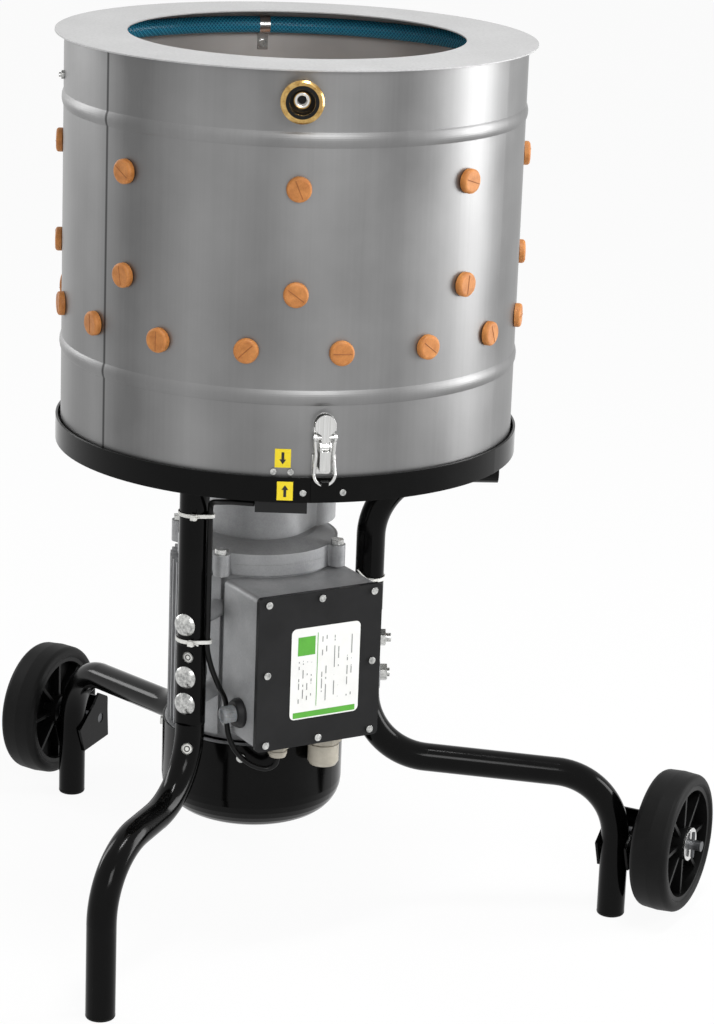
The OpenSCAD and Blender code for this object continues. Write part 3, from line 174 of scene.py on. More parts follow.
def drum_sheet(name):
    """Satin metal: bands, streaks and smudges mix to a grey. Masks by angle and by radius add a painted
    shadow along the seam's lap and a paler, painted-light tone on the inner wall."""
    finish, tree, place = new_finish(name)
    centred = add(tree, "ShaderNodeMapping", links={"Vector": place},
                  values={"Location": (-AXIS[0], -AXIS[1], 0)})
    parts = add(tree, "ShaderNodeSeparateXYZ", links={"Vector": centred.outputs[0]})
    noises = []
    for across_mm, along_mm, detail in ((95, 2400, 1), (4, 260, 2), (120, 120, 4)):
        stretch = add(tree, "ShaderNodeMapping", links={"Vector": place},
                      values={"Scale": (1000 / across_mm, 1000 / across_mm, 1000 / along_mm)})
        noise = add(tree, "ShaderNodeTexNoise", links={"Vector": stretch.outputs[0]},
                    values={"Scale": 1, "Detail": detail})
        noises.append(noise.outputs["Fac"])
    band, streak, smudge = noises
    fine = add(tree, "ShaderNodeMix", data_type="FLOAT", values={"Factor": 0.85},
               links={"A": streak, "B": smudge})
    grey = add(tree, "ShaderNodeMix", data_type="FLOAT", values={"Factor": 0.62},
               links={"A": fine.outputs[0], "B": band})
    outer = two_tones(tree, grey.outputs[0], 0.34, "#6b6b6b", 0.66, "#919191")
    angle = add(tree, "ShaderNodeMath", operation="ARCTAN2",
                links={0: parts.outputs["Y"], 1: parts.outputs["X"]})
    off_seam = add(tree, "ShaderNodeMath", operation="SUBTRACT", links={0: angle.outputs[0]},
                   values={1: math.radians(SEAM_DEG)})
    away = add(tree, "ShaderNodeMath", operation="ABSOLUTE", links={0: off_seam.outputs[0]})
    # Mask of the painted shadow along the seam's lap, strongest at the seam's angle
    seam = add(tree, "ShaderNodeMapRange", links={"Value": away.outputs[0]},
               values={"From Min": SEAM_SHADOW_CORE / DRUM_R, "From Max": SEAM_SHADOW_FADE / DRUM_R,
                       "To Min": 0.85, "To Max": 0})
    flat = add(tree, "ShaderNodeMapping", values={"Scale": (1, 1, 0)}, links={"Vector": centred.outputs[0]})
    radius = add(tree, "ShaderNodeVectorMath", operation="LENGTH", links={0: flat.outputs[0]})
    inner = add(tree, "ShaderNodeMath", operation="LESS_THAN", links={0: radius.outputs["Value"]},
                values={1: (DRUM_R - WALL / 2) * MM})
    # Painted shadow: the seam's stripe turns the sheet towards #2c2c2c
    seam_shadowed = add(tree, "ShaderNodeMix", data_type="RGBA", links={"Factor": seam.outputs[0]})
    tree.links.new(outer, seam_shadowed.inputs[6])
    seam_shadowed.inputs[7].default_value = tone("#2c2c2c")
    # The inner wall's paler tone, and its lower metallic below, are painted light for the shade inside the
    # drum
    inner_painted_light = two_tones(tree, smudge, 0.35, "#bdbab7", 0.65, "#cfccc9")
    colour = add(tree, "ShaderNodeMix", data_type="RGBA", links={"Factor": inner.outputs[0]})
    tree.links.new(seam_shadowed.outputs[2], colour.inputs[6])
    tree.links.new(inner_painted_light, colour.inputs[7])
    metal = add(tree, "ShaderNodeMapRange", links={"Value": inner.outputs[0]},
                values={"To Min": 1, "To Max": 0.35})
    satin = add(tree, "ShaderNodeMapRange", links={"Value": smudge},
                values={"From Min": 0.3, "From Max": 0.7, "To Min": 0.38, "To Max": 0.48})
    close_finish(tree, {}, {"Base Color": colour.outputs[2], "Metallic": metal.outputs[0],
                            "Roughness": satin.outputs[0], "Normal": skin(tree, smudge, 0.06, 1, 0.5)})
    return finish


drum_steel = drum_sheet("satin_stainless_rolled")
print("drum sheet with a seam at", SEAM_DEG, "degrees")

# %% [markdown]
# ## Other steels
# Rim, latches, plated bolts and shafts are the same recipe at other tones: a stretched noise for
# the grain of rolling or turning, and a broad one for stains and gloss. Plated bolt heads are
# mottled instead, so their grain isn't stretched and its relief is stronger.

# %% Steel finishes
def steel(name, light, dark, rough, grain_mm, stretch=40, relief=0.08, metallic=1.0):
    """Metal whose grey runs between two tones along its grain, with stains in its roughness."""
    finish, tree, place = new_finish(name)
    drawn = add(tree, "ShaderNodeMapping", links={"Vector": place},
                values={"Scale": (1000 / grain_mm, 1000 / grain_mm, 1000 / (stretch * grain_mm))})
    grain = add(tree, "ShaderNodeTexNoise", links={"Vector": drawn.outputs[0]},
                values={"Scale": 1, "Detail": 3})
    stain = add(tree, "ShaderNodeTexNoise", links={"Vector": place}, values={"Scale": 1000 / 60, "Detail": 4})
    both = add(tree, "ShaderNodeMix", data_type="FLOAT", values={"Factor": 0.4},
               links={"A": grain.outputs["Fac"], "B": stain.outputs["Fac"]})
    gloss = add(tree, "ShaderNodeMapRange", links={"Value": stain.outputs["Fac"]},
                values={"From Min": 0.3, "From Max": 0.7, "To Min": rough - 0.05, "To Max": rough + 0.07})
    close_finish(tree, {"Metallic": metallic},
                 {"Base Color": two_tones(tree, both.outputs[0], 0.35, dark, 0.65, light),
                  "Roughness": gloss.outputs[0],
                  "Normal": skin(tree, grain.outputs["Fac"], relief, 0.5, 0.5)})
    return finish


rim_steel = steel("satin_stainless_blanked", "#bebebe", "#b0b0b0", 0.62, 3, metallic=0.35)
latch_steel = steel("bright_stainless_pressed", "#e2e2e1", "#c8c8c6", 0.2, 2)
zinc = steel("zinc_plated_steel_forged", "#e0e0dd", "#8f908f", 0.24, 3.5, stretch=1, relief=0.5)
shaft_steel = steel("dark_steel_turned", "#6a6b6d", "#4c4d4f", 0.35, 1.5)
print("rim, latch, plated and shaft steels mixed")

# %% [markdown]
# ## Black coatings and plastics
# Ring, legs, brackets and fan cover are black enamel, baked glossy, with a faint orange peel
# about two millimetres across and dust that dulls it in patches. Covers, hubs and tyres are
# rougher blacks. The surround is white, so the blacks have a low specular level and stay black.

# %% Black finishes
def black_skin(name, light, dark, rough, grain_mm, relief, specular):
    """Near-black skin: two close tones by a dust noise, which also dulls it, and a grain in its relief."""
    finish, tree, place = new_finish(name)
    dust = add(tree, "ShaderNodeTexNoise", links={"Vector": place},
               values={"Scale": 1000 / 45, "Detail": 5, "Roughness": 0.65})
    grain = add(tree, "ShaderNodeTexNoise", links={"Vector": place},
                values={"Scale": 1000 / grain_mm, "Detail": 2})
    gloss = add(tree, "ShaderNodeMapRange", links={"Value": dust.outputs["Fac"]},
                values={"From Min": 0.3, "From Max": 0.75, "To Min": rough, "To Max": rough + 0.08})
    close_finish(tree, {"IOR": 1.5, "Specular IOR Level": specular},
                 {"Base Color": two_tones(tree, dust.outputs["Fac"], 0.35, dark, 0.7, light),
                  "Roughness": gloss.outputs[0],
                  "Normal": skin(tree, grain.outputs["Fac"], relief, 0.4, 0.8)})
    return finish


enamel = black_skin("black_powder_coat_baked", "#060606", "#020202", 0.1, 2.2, 0.03, 0.11)
cover_black = black_skin("black_satin_cover_moulded", "#1a1a1b", "#111112", 0.38, 0.9, 0.2, 0.25)
hub_black = black_skin("black_polypropylene_moulded", "#111111", "#090909", 0.4, 1.2, 0.15, 0.15)
tyre_black = black_skin("black_tyre_rubber_moulded", "#131313", "#0b0b0b", 0.5, 1.6, 0.25, 0.13)
lead_black = black_skin("black_pvc_sheath_extruded", "#0d0d0d", "#060606", 0.3, 1.0, 0.1, 0.2)
print("five black skins mixed")

# %% [markdown]
# ## Cast aluminium, rubber, nylon and brass
# Motor, gear case and terminal box are sand cast and blasted: a dull silver with a grit of about
# two millimetres, darker in its pits. The fingers are amber natural rubber, a little translucent.
# Glands and ties are nylon, and the inlet is turned brass. One recipe serves them all: patches
# between two tones, an even gloss and a fine skin, with how metallic and how soft set by number.

# %% Cast and moulded finishes
def moulded(name, light, dark, rough, patch_mm, grit_mm=1.2, relief=0.12, metallic=0.0, soft=0.0):
    """Moulded or cast material: soft patches plus grit choose between two tones, and the grit is also its
    relief."""
    finish, tree, place = new_finish(name)
    patch = add(tree, "ShaderNodeTexNoise", links={"Vector": place},
                values={"Scale": 1000 / patch_mm, "Detail": 4, "Roughness": 0.6})
    grit = add(tree, "ShaderNodeTexNoise", links={"Vector": place},
               values={"Scale": 1000 / grit_mm, "Detail": 3, "Roughness": 0.7})
    both = add(tree, "ShaderNodeMix", data_type="FLOAT", values={"Factor": 0.3},
               links={"A": patch.outputs["Fac"], "B": grit.outputs["Fac"]})
    close_finish(tree, {"Roughness": rough, "Metallic": metallic, "Subsurface Weight": soft,
                        "Subsurface Scale": 4 * MM, "Subsurface Radius": (1.0, 0.5, 0.2)},
                 {"Base Color": two_tones(tree, both.outputs[0], 0.34, dark, 0.66, light),
                  "Normal": skin(tree, grit.outputs["Fac"], relief, 0.4, 0.9)})
    return finish


casting = moulded("aluminium_sand_cast", "#b2b3b4", "#8f9092", 0.5, 60, 2.0, 0.3, metallic=0.35)
amber = moulded("amber_natural_rubber_moulded", "#d08a48", "#ad6a2e", 0.55, 9, soft=0.1)
cream = moulded("cream_nylon_moulded", "#b7b1a3", "#a39d90", 0.4, 14)
white_nylon = moulded("white_nylon_moulded", "#f0f0ec", "#e0e0da", 0.4, 8)
copper = moulded("copper_winding_varnished", "#8a4a22", "#6d3717", 0.4, 5, metallic=0.6)
brass = moulded("brass_turned", "#d9b878", "#9a7640", 0.2, 7, metallic=1.0, relief=0.05)
print("casting, rubber, nylon, copper and brass mixed")

# %% [markdown]
# ## Finishes on the solids
# Every solid names its finish here, so the table reads like a parts list.

# %% Hand out the finishes
parts_list = {
    drum_steel: ["drum_shell"],
    rim_steel: ["rim_ring", "rotor_plate"],
    latch_steel: ["latch_plates", "latch_lever_front", "latch_lever_right", "latch_lever_left",
                  "latch_bail_front", "latch_bail_right", "latch_bail_left", "hose_clips", "axle_washers"],
    zinc: ["leg_bolts", "leg_nuts", "drum_screws", "case_bolts", "pan_screws"],
    shaft_steel: ["wheel_axles", "ball_bearings", "output_shaft", "output_gear", "motor_shaft"],
    enamel: ["base_ring", "front_upper_leg", "right_upper_leg", "left_upper_leg", "front_lower_leg",
             "right_lower_leg", "left_lower_leg", "right_wheel_bracket", "left_wheel_bracket", "fan_cover",
             "latch_keepers"],
    cover_black: ["box_cover", "safety_sensor", "sensor_magnet", "button_bezel", "cooling_fan",
                  "inlet_locknut"],
    hub_black: ["right_wheel_hub", "left_wheel_hub"],
    tyre_black: ["right_tyre", "left_tyre", "foot_plugs", "shaft_seal"],
    casting: ["gear_case", "motor_housing", "box_base", "saddle_washers"],
    amber: ["fingers_top", "fingers_middle", "fingers_bottom", "plate_fingers"],
    brass: ["inlet_fitting"],
    cream: ["cable_glands"],
    white_nylon: ["cable_ties"],
    copper: ["stator"],
}
for finish, names in parts_list.items():
    for name in names:
        nodes[name].data.materials.clear()
        nodes[name].data.materials.append(finish)
print("finishes on", sum(len(names) for names in parts_list.values()), "solids")

# %% [markdown]
# ## Surfaces from arrays
# New pieces are grids of points: one parameter runs along the piece and one round or across it.
# The grid's quads come from shifted index arrays, and the same two parameters become the UV map.
# Several grids of one shape can share a mesh, which suits rows of small printed bars.

# %% Grid surface, tube, turned shape and flat piece
def link_piece(name, mesh, finish, body="frame"):
    """Object of a mesh, with its finish and the body it moves with."""
    mesh.materials.append(finish)
    piece = bpy.data.objects.new(name, mesh)
    bpy.context.collection.objects.link(piece)
    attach(piece, body)
    return piece


def quad_corners(grids):
    """Corners of every quad in order: a point, its next column, and those two a row on, last one first."""
    return np.stack([grids[:, :-1, :-1], grids[:, :-1, 1:], grids[:, 1:, 1:], grids[:, 1:, :-1]], axis=3)


def surface(name, points, finish, body="frame", round_shut=False, caps=False, flip=False,
            uv_size=(1, 1)):
    """Mesh of one or more grids of rows and columns, a quad between each point and the next ones. round_shut
    joins the last column to the first, caps close the ends, flip turns the faces over."""
    grids = points.reshape(-1, *points.shape[-3:])
    count, rows, columns = grids.shape[:3]
    index = np.arange(count * rows * columns).reshape(count, rows, columns)
    turn = np.concatenate([index, index[:, :, :1]], axis=2) if round_shut else index
    quads = quad_corners(turn).reshape(-1, 4)
    u, v = np.meshgrid(np.linspace(0, uv_size[0], rows), np.linspace(0, uv_size[1], turn.shape[2]),
                       indexing="ij")
    uv = np.broadcast_to(np.stack([u, v], axis=-1), (count, rows, turn.shape[2], 2))
    corners = quad_corners(uv).reshape(-1, 4, 2)
    if flip:
        quads, corners = quads[:, ::-1], corners[:, ::-1]
    faces = quads.tolist()
    if caps:
        faces += index[:, 0, ::-1].tolist() + index[:, -1].tolist()
    mesh = bpy.data.meshes.new(name)
    mesh.from_pydata(grids.reshape(-1, 3).tolist(), [], faces)
    layer = mesh.uv_layers.new(name="UVMap")
    flat = np.zeros((len(mesh.loops), 2))
    flat[:quads.size] = corners.reshape(-1, 2)
    layer.data.foreach_set("uv", flat.ravel())
    mesh.polygons.foreach_set("use_smooth", np.arange(len(faces)) < len(quads))
    return link_piece(name, mesh, finish, body)


def tube_points(path, radius, sides):
    """Rings round a path: each lies across the path's direction, set out from one fixed direction."""
    along = np.gradient(path, axis=0)
    along /= np.linalg.norm(along, axis=1, keepdims=True)
    arm = np.cross(along, np.array([0.3, 1.0, 0.1]))
    arm /= np.linalg.norm(arm, axis=1, keepdims=True)
    other = np.cross(along, arm)
    turn = np.linspace(0, 2 * math.pi, sides, endpoint=False)[None, :, None]
    return path[:, None] + radius * (arm[:, None] * np.cos(turn) + other[:, None] * np.sin(turn))


def turned(origin, axis, reach, radius, sides):
    """Lathe shape in millimetres: a ring at each reach along the axis. The radius may change round it too."""
    arm = np.cross(axis, UP)
    other = np.cross(axis, arm)
    turn = np.linspace(0, 2 * math.pi, sides, endpoint=False)
    spread = np.broadcast_to(np.reshape(radius, (len(reach), -1)), (len(reach), sides))[..., None]
    ring = arm * np.cos(turn)[:, None] + other * np.sin(turn)[:, None]
    return origin + (np.reshape(reach, (-1, 1, 1)) * axis + spread * ring[None]) * MM


def flat_piece(name, corners, finish):
    """One many-cornered face, its corners in order so that it faces outwards."""
    mesh = bpy.data.meshes.new(name)
    mesh.from_pydata(corners.tolist(), [], [list(range(len(corners)))])
    return link_piece(name, mesh, finish)


def heading_of(degrees):
    """Level direction at an angle from +X."""
    angle = np.radians(degrees)
    return np.stack([np.cos(angle), np.sin(angle), np.zeros_like(angle)], axis=-1)


print("drum faces", heading_of(np.array(DRUM_TURN)).round(3))

# %% [markdown]
# ## Braided hose
# Inside the rim lies a reinforced hose: blue-green tube under a clear skin, with a braid of
# crossing threads. The tube is a torus arc, and two sets of slanted lines on its UV map, one
# left-handed and one right-handed, draw the braid at a thread spacing of 4.5 mm. Drawing it
# costs no geometry, and at this size each thread is thinner than a pixel.

# %% Hose
THREADS_ROUND, THREAD_MM = 12, 4.5


def braid(name):
    """Blue hose: two sine waves along UV at opposite slants, and the larger value is the thread."""
    finish, tree, _ = new_finish(name)
    place = add(tree, "ShaderNodeUVMap")
    split = add(tree, "ShaderNodeSeparateXYZ", links={"Vector": place.outputs[0]})
    threads = []
    for hand in (1, -1):
        around = add(tree, "ShaderNodeMath", operation="MULTIPLY", links={0: split.outputs["Y"]},
                     values={1: hand * 2 * math.pi * THREADS_ROUND})
        phase = add(tree, "ShaderNodeMath", operation="MULTIPLY_ADD",
                    links={0: split.outputs["X"], 2: around.outputs[0]},
                    values={1: 2 * math.pi / (THREAD_MM * MM)})
        threads.append(add(tree, "ShaderNodeMath", operation="SINE", links={0: phase.outputs[0]}))
    top = add(tree, "ShaderNodeMath", operation="MAXIMUM",
              links={0: threads[0].outputs[0], 1: threads[1].outputs[0]})
    relief = add(tree, "ShaderNodeBump", values={"Strength": 0.3, "Distance": 0.4 * MM},
                 links={"Height": top.outputs[0]})
    close_finish(tree, {"Roughness": 0.22, "Specular IOR Level": 0.3},
                 {"Base Color": two_tones(tree, top.outputs[0], 0.5, "#0d6a90", 0.98, "#48b6d8"),
                  "Normal": relief.outputs[0]})
    return finish


hose_r, hose_ring_r, hose_z = 9.5 * MM, 236.2 * MM, 970.5 * MM
inlet_room, full_turn_deg = 19.8 * MM, 356
gap = math.asin(inlet_room / hose_ring_r)
sweep = math.radians(full_turn_deg) - 2 * gap
turn = math.radians(DRUM_TURN) + gap + np.linspace(0, sweep, 260)
hose_path = AXIS + np.stack([hose_ring_r * np.cos(turn), hose_ring_r * np.sin(turn),
                             np.full_like(turn, hose_z)], axis=1)
hose = surface("braided_hose", tube_points(hose_path, hose_r, 24), braid("braided_hose_extruded"),
               round_shut=True, caps=True, uv_size=(hose_ring_r * sweep, 1))
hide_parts("hose_ring")
print("hose", round(hose_ring_r * sweep, 3), "m round")

# %% [markdown]
# ## Sensor cable
# A thin round cable runs from the safety sensor, down the front leg and round into the small
# gland. The route is a list of given points. A Catmull-Rom curve passes through all of
# them, which suits a cable that is tied at known places.

# %% Sensor cable
def through(points, steps):
    """Catmull-Rom curve: a cubic from each point to the next, whose slope at a point is half the step between
    that point's neighbours."""
    ends = np.concatenate([2 * points[:1] - points[1:2], points, 2 * points[-1:] - points[-2:-1]])
    a, b, c, d = ends[:-3, None], ends[1:-2, None], ends[2:-1, None], ends[3:, None]
    t = np.linspace(0, 1, steps, endpoint=False)[None, :, None]
    curve = 0.5 * (2 * b + (c - a) * t + (2 * a - 5 * b + 4 * c - d) * t ** 2
                   + (3 * b - 3 * c + d - a) * t ** 3)
    return np.concatenate([curve.reshape(-1, 3), points[-1:]])


lead_d = 6 * MM
lead_route = AXIS + np.array([
    [84, -227.4, 539], [74, -231, 539], [60, -232, 538], [46, -229, 535], [34, -221, 531],
    [25, -212, 526], [20.5, -206, 518], [20, -205, 507], [20, -205, 470], [20, -205, 440],
    [20, -205, 410], [20, -205, 385], [20, -205, 362], [22, -198, 338], [25, -186, 314],
    [27, -174, 294], [28, -172.5, 272], [31, -172.5, 255], [37, -171, 241], [46, -168, 230],
    [57, -163, 222], [68, -155, 218], [76, -149.2, 222], [78.5, -147.7, 230], [78.5, -147.7, 241],
]) * MM
lead_path = through(lead_route, 8)
lead = surface("sensor_cable", tube_points(lead_path, lead_d / 2, 14), lead_black,
               round_shut=True, caps=True)
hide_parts("sensor_lead")

# %% [markdown]
# ## Fluted push button
# The button is a translucent grey cap with grip flutes. Its outline is turned like a lathe
# profile, and the radius is then rippled round the axis to cut the flutes, so that one array
# gives the whole cap.

# %% Push button
BOX_TURN = -34.0
BUTTON_AT = (108, -74, 287)
FLUTES = 20
box_out, box_side = heading_of(np.array([BOX_TURN, BOX_TURN + 90]))


def box_point(out, side, height):
    """A point in the control box's own directions, in millimetres: out of its cover, along it and up."""
    out, side, height = (np.asarray(value, float)[..., None] for value in (out, side, height))
    return MOTOR + (box_out * out + box_side * side + UP * height) * MM


acrylic = moulded("grey_acrylic_moulded", "#8f9294", "#6d7072", 0.25, 6, relief=0.02, soft=0.2)
reach = np.array([4.5, 4.6, 8, 9, 19.5, 21, 22.1, 22.5, 22.5])
radius = np.array([0.5, 9.4, 9.4, 9.4, 9.4, 9.0, 7.6, 6, 0.4])
flute = np.array([0, 0, 0, 0.5, 0.5, 0.3, 0.1, 0, 0])
turn = np.linspace(0, 2 * math.pi, 120, endpoint=False)
rippled = radius[:, None] - flute[:, None] * (0.5 + 0.5 * np.cos(FLUTES * turn))
cap_points = turned(box_point(*BUTTON_AT), -box_side, reach, rippled, len(turn))
knob = surface("button_cap", cap_points, acrylic, body="button", round_shut=True, caps=True)
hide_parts("push_button")
print("button cap with", FLUTES, "flutes")

# %% [markdown]
# ## Mould lines on the fingers
# Each rubber head has a thin raised line across it, where the mould's halves met, turned as the
# finger happened to be pushed in. Every line is a narrow arched strip, and all of them are one
# array: head, step along the line, step across it.

# %% Finger mould lines
FLOOR_Z = 549
HEAD_GAP, HEAD_H = 0.34, 7
COLUMNS = 8
ROW_HEIGHTS = [323, 214.5, 154]
head_face = DRUM_R + HEAD_GAP + HEAD_H
spacing = 360 / COLUMNS
column = DRUM_TURN + spacing * np.arange(COLUMNS)
bottom = DRUM_TURN + spacing / 4 + spacing / 2 * np.arange(2 * COLUMNS)
head_deg = np.concatenate([column, column, bottom])
head_z = FLOOR_Z + np.repeat(ROW_HEIGHTS, [COLUMNS, COLUMNS, 2 * COLUMNS])
roll_of_head = np.random.default_rng(7).uniform(0, math.pi, len(head_deg))
outward = heading_of(head_deg)
sideways = heading_of(head_deg + 90)
run = np.cos(roll_of_head)[:, None] * sideways + np.sin(roll_of_head)[:, None] * UP
across_run = np.cos(roll_of_head)[:, None] * UP - np.sin(roll_of_head)[:, None] * sideways
along, arch = np.linspace(-10, 10, 6), np.linspace(0, math.pi, 6)
line_points = (head_face * outward + head_z[:, None] * UP)[:, None, None] \
    + along[:, None, None] * run[:, None, None] \
    - 0.6 * np.cos(arch)[:, None] * across_run[:, None, None] \
    + (0.45 * np.sin(arch)[:, None] - 0.05) * outward[:, None, None]
mould_rubber = moulded("amber_rubber_flash_moulded", "#a8672f", "#8d5220", 0.6, 9)
surface("finger_mould_lines", AXIS + line_points * MM, mould_rubber, flip=True)
print(len(head_deg), "mould lines")

# %% [markdown]
# ## Inlet's inside
# The brass inlet shows a black seal on its lip and, deep in the bore, a bright nozzle with a hole.
# The nozzle is a turned profile that climbs its outer wall and comes back down its hole, so one
# closed shape has both. A black disc at the foot of the hole is painted shade for its depth.

# %% Inlet nozzle and seals
INLET_Z = 963.5
inlet_out = heading_of(np.array(DRUM_TURN))
inlet_at = AXIS + (DRUM_R * inlet_out + INLET_Z * UP) * MM
nozzle_reach = [6.2, 13, 13.6, 13.6, 13, 7.6]
nozzle_radius = np.array([8.8, 8.8, 8.3, 5.4, 4.8, 4.4])
nozzle = turned(inlet_at, inlet_out, nozzle_reach, nozzle_radius, 48)
surface("inlet_nozzle", nozzle, latch_steel, round_shut=True, caps=True)
seals = np.stack([turned(inlet_at, inlet_out, [place, place + 0.1], np.array(size), 48)
                  for place, size in ((27.1, [16.8, 13.1]), (6.4, [12.9, 8.8]))])
surface("inlet_seals", seals, lead_black, round_shut=True)
# Black disc at the foot of the nozzle's hole: painted shade for the hole's depth
hole_edge = turned(inlet_at, inlet_out, [7.8], nozzle_radius[-1:], 32)[0]
flat_piece("inlet_hole_painted_shade", hole_edge, lead_black)
print("inlet nozzle, two seals and a hole")

# %% [markdown]
# ## Stickers
# Two yellow stickers with a plain arrow show how the drum lines up with its base, one on the drum
# and one on the ring. A sticker is a thin sheet on a curved wall, so it is drawn in that wall's own
# directions, angle and height, and lifted a fraction of a millimetre.

# %% Stickers
yellow = moulded("yellow_vinyl_printed", "#f8e01c", "#f0d412", 0.35, 30, relief=0.03)
ink = moulded("black_ink_printed", "#121212", "#0a0a0a", 0.4, 30, relief=0.03)


def wall_patch(degrees, height, radius):
    """Points on a cylinder about the drum axis: angle from +X, height and radius in millimetres."""
    return AXIS + (radius * heading_of(degrees) + np.asarray(height, float)[..., None] * UP) * MM


def sticker(name, centre_deg, centre_z, wall_r, way):
    """Yellow patch on the wall with a seven-cornered arrow on it, up for way 1 and down for way -1."""
    half = math.degrees(8.3 / wall_r)
    z, angle = np.meshgrid(np.linspace(-10, 10, 5), np.linspace(-half, half, 9), indexing="ij")
    surface(name, wall_patch(centre_deg + angle, centre_z + z, wall_r + 0.25), yellow)
    shape = np.array([[-1.5, -6.4], [1.5, -6.4], [1.5, 1.2], [3.6, 1.2], [0, 6.4], [-3.6, 1.2],
                      [-1.5, 1.2]])[::way]
    aside = np.degrees(shape[:, 0] / wall_r)
    arrow = wall_patch(centre_deg + aside, centre_z + way * shape[:, 1], wall_r + 0.4)
    flat_piece(name + "_arrow", arrow, ink)


sticker("drum_sticker", -63.1, 591, DRUM_R, -1)
sticker("ring_sticker", -62.4, 557.5, RING_R, 1)
print("two stickers")

# %% [markdown]
# ## Label
# The box carries a coated paper label with rounded corners, a blank green field, a band and rows of
# grey bars in place of print. All bars of one ink are one array of rectangles, laid just over the
# paper, and random cuts along each row give them the uneven lengths of lines of print.

# %% Label
paper = moulded("white_label_paper_coated", "#f6f6f4", "#eeeeeb", 0.45, 30, relief=0.03)
green = moulded("green_ink_printed", "#5cb238", "#4fa22f", 0.4, 30, relief=0.03)
grey_ink = moulded("grey_ink_printed", "#8f908f", "#7f807f", 0.4, 30, relief=0.03)
COVER = 148
LABEL_ROUND = 6
PRINT_FOOT = 299


def bars(name, sides, heights, finish):
    """Rectangles printed on the label: two sides and two heights for each, in millimetres."""
    sides, heights = np.reshape(sides, (-1, 1, 2)), np.reshape(heights, (-1, 2, 1))
    corners = box_point(COVER + 0.4, np.repeat(sides, 2, axis=1), np.repeat(heights, 2, axis=2))
    surface(name, corners, finish)


corner = np.radians(np.linspace(0, 90, 7))
quarter = np.concatenate([corner, corner + math.pi / 2, corner + math.pi, corner + 1.5 * math.pi])
middle_side = np.repeat([43, -29, -29, 43], 7)
middle_up = np.repeat([382, 382, 291, 291], 7)
edge_side = middle_side + LABEL_ROUND * np.cos(quarter)
edge_up = middle_up + LABEL_ROUND * np.sin(quarter)
flat_piece("box_label", box_point(COVER + 0.25, edge_side, edge_up), paper)
bars("label_green", [[-31, 45], [-27, -6], [-3.4, -2.6]], [[286.5, 293], [357, 378], [298, 381]], green)
print_side = np.array([-25, -20, -15, -10, 3, 8, 18, 23, 34, 39])
cuts = np.sort(np.random.default_rng(4).uniform(size=(10, 10)), axis=1).reshape(10, 5, 2)
tops = np.where(print_side < -4, 352, 379)[:, None, None]
heights = PRINT_FOOT + cuts * (tops - PRINT_FOOT)
sides = np.broadcast_to((print_side[:, None] + np.array([-0.55, 0.55]))[:, None], heights.shape)
bars("label_bars", sides, heights, grey_ink)
print("label with", heights.shape[0] * heights.shape[1], "bars")

# %% [markdown]
# ## Marks on the front leg, and tie tails
# Two round white marks with a dark ring sit on the front leg. Each is a small disc bent round the
# tube: its points are an angle round the tube and a step along it. The nylon ties end in a short
# cut tail, a thin tube along a bent path.

# %% Leg marks and tie tails
def leg_mark(name, tube, front, turn_deg, lift, bend_r, inner, outer, finish):
    """Ring or disc between two radii, bent round a tube: a step sideways becomes an angle about its axis.
    It lies lift out from the tube's middle, turned from the tube's front towards +X."""
    way = math.radians(turn_deg)
    normal = math.cos(way) * front + np.array([math.sin(way), 0, 0])
    sideways = np.array([math.cos(way), 0, 0]) - math.sin(way) * front
    turn = np.linspace(0, 2 * math.pi, 32, endpoint=False)
    size = np.linspace(outer, inner, 4)[:, None]
    angle = (size * np.cos(turn) / bend_r)[..., None]
    bent = bend_r * ((np.cos(angle) - 1) * normal + np.sin(angle) * sideways)
    along = (size * np.sin(turn))[..., None] * np.cross(normal, sideways)
    return surface(name, AXIS + (tube + lift * normal + bent + along) * MM, finish,
                   round_shut=True, caps=inner < 0.1)


TAIL_R = 0.9
lean = math.radians(15.7)
sloped = np.array([0, -math.cos(lean), math.sin(lean)])
for place, (tube, front, turn_deg, tube_r, bend_r) in enumerate((
        (np.array([3.0, -203.5, 352]), np.array([0, -1.0, 0]), 0, 12.5, 40),
        (np.array([0, -206.5, 246]), sloped, 24, 16, 16))):
    leg_mark(f"leg_mark_{place}", tube, front, turn_deg, tube_r + 0.6, bend_r, 0.05, 6.2, white_nylon)
    leg_mark(f"leg_mark_ring_{place}", tube, front, turn_deg, tube_r + 0.8, bend_r, 2.2, 3.4, ink)

for place, (start, bend, end) in enumerate((
        ([11, -221, 510], [15, -223, 511], [20, -226, 513]),
        ([11, -221, 370], [15, -223, 371], [20, -226, 371]),
        ([118, -11.5, 402], [111, -15.5, 407], [104, -18.5, 415]))):
    tail = AXIS + through(np.array([start, bend, end], float), 6) * MM
    surface(f"tie_tail_{place}", tube_points(tail, TAIL_R * MM, 8), white_nylon,
            round_shut=True, caps=True)
print("two leg marks and three tie tails")

# %% [markdown]
# ## Studio
# A pale floor, a white surround and soft lamps: one above, one tall panel on each side and one in
# front. Camera, glossy and transmission rays see the surround as white, and the light it sheds
# is lower, so that colours come out about as written. The lamp above is narrow, because narrow
# lamps leave the crisp lines that show gloss black as gloss.

# %% Floor, surround and lamps
def white_to_sight(tree, share):
    """The share for rays from the camera, from shiny surfaces and through clear ones, and 0 for the rest."""
    ray = add(tree, "ShaderNodeLightPath")
    shiny = add(tree, "ShaderNodeMath", operation="MAXIMUM",
                links={0: ray.outputs["Is Glossy Ray"], 1: ray.outputs["Is Transmission Ray"]})
    seen = add(tree, "ShaderNodeMath", operation="MAXIMUM",
               links={0: ray.outputs["Is Camera Ray"], 1: shiny.outputs[0]})
    part = add(tree, "ShaderNodeMath", operation="MULTIPLY", links={0: seen.outputs[0]}, values={1: share})
    return part.outputs[0]


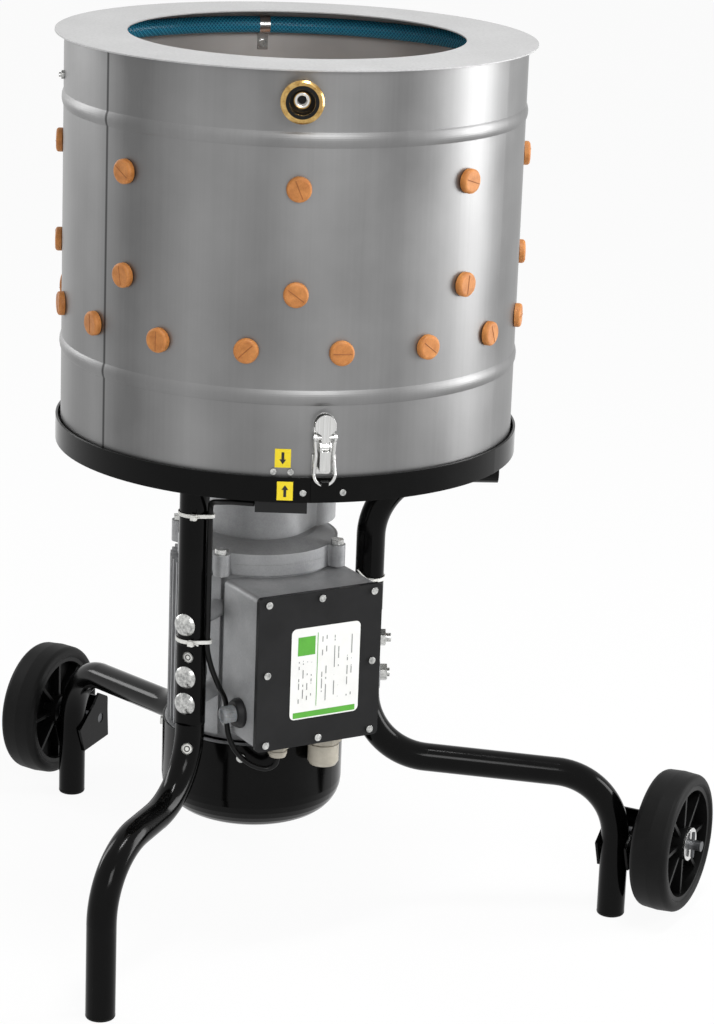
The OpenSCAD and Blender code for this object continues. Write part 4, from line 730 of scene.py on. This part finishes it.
FLOOR_WHITE = 0.93
SHED_LIGHT = 0.45
floor_finish, tree, _ = new_finish("pale_floor_painted")
matt = add(tree, "ShaderNodeBsdfDiffuse", values={"Color": tone("#f4f4f4")})
glow = add(tree, "ShaderNodeEmission", values={"Color": (1, 1, 1, 1), "Strength": 1})
floor_mix = add(tree, "ShaderNodeMixShader",
                links={0: white_to_sight(tree, FLOOR_WHITE), 1: matt.outputs[0], 2: glow.outputs[0]})
add(tree, "ShaderNodeOutputMaterial", links={"Surface": floor_mix.outputs[0]})
floor_mesh = bpy.data.meshes.new("floor")
floor_mesh.from_pydata([(-20, -20, 0), (20, -20, 0), (20, 20, 0), (-20, 20, 0)], [], [(0, 1, 2, 3)])
floor_mesh.materials.append(floor_finish)
floor = bpy.data.objects.new("floor", floor_mesh)
bpy.context.collection.objects.link(floor)

world = bpy.data.worlds.new("surround")
bpy.context.scene.world = world
world.use_nodes = True
sky = world.node_tree
sky.nodes.clear()
strength = add(sky, "ShaderNodeMapRange", links={"Value": white_to_sight(sky, 1)},
               values={"To Min": SHED_LIGHT, "To Max": 1.0})
shell = add(sky, "ShaderNodeBackground", values={"Color": (1, 1, 1, 1)},
            links={"Strength": strength.outputs[0]})
add(sky, "ShaderNodeOutputWorld", links={"Surface": shell.outputs[0]})


def lamp(name, place, target, size, watts):
    """Rectangular soft lamp at a place, turned to face a target, in metres and watts."""
    data = bpy.data.lights.new(name, "AREA")
    data.shape = "RECTANGLE"
    data.size, data.size_y = size
    data.energy = watts
    item = bpy.data.objects.new(name, data)
    bpy.context.collection.objects.link(item)
    away = np.array(place, float) - np.array(target, float)
    away /= np.linalg.norm(away)
    right = np.cross(UP, away)
    right /= np.linalg.norm(right)
    matrix = np.eye(4)
    matrix[:3] = np.stack([right, np.cross(away, right), away, place], axis=1)
    item.matrix_world = matrix.T.tolist()


lamp("above", (0.75, -0.3, 3.1), (0.05, 0, 0.6), (0.9, 0.16), 34)
lamp("right_panel", (2.5, 1.6, 1.0), (0, 0, 0.7), (1.0, 1.8), 58)
lamp("left_panel", (-2.9, 0.3, 1.5), (0, 0, 0.7), (0.6, 1.8), 26)
lamp("front", (2.1, -2.3, 2.2), (0, 0, 0.6), (1.0, 1.0), 32)
print("floor, surround and four lamps")
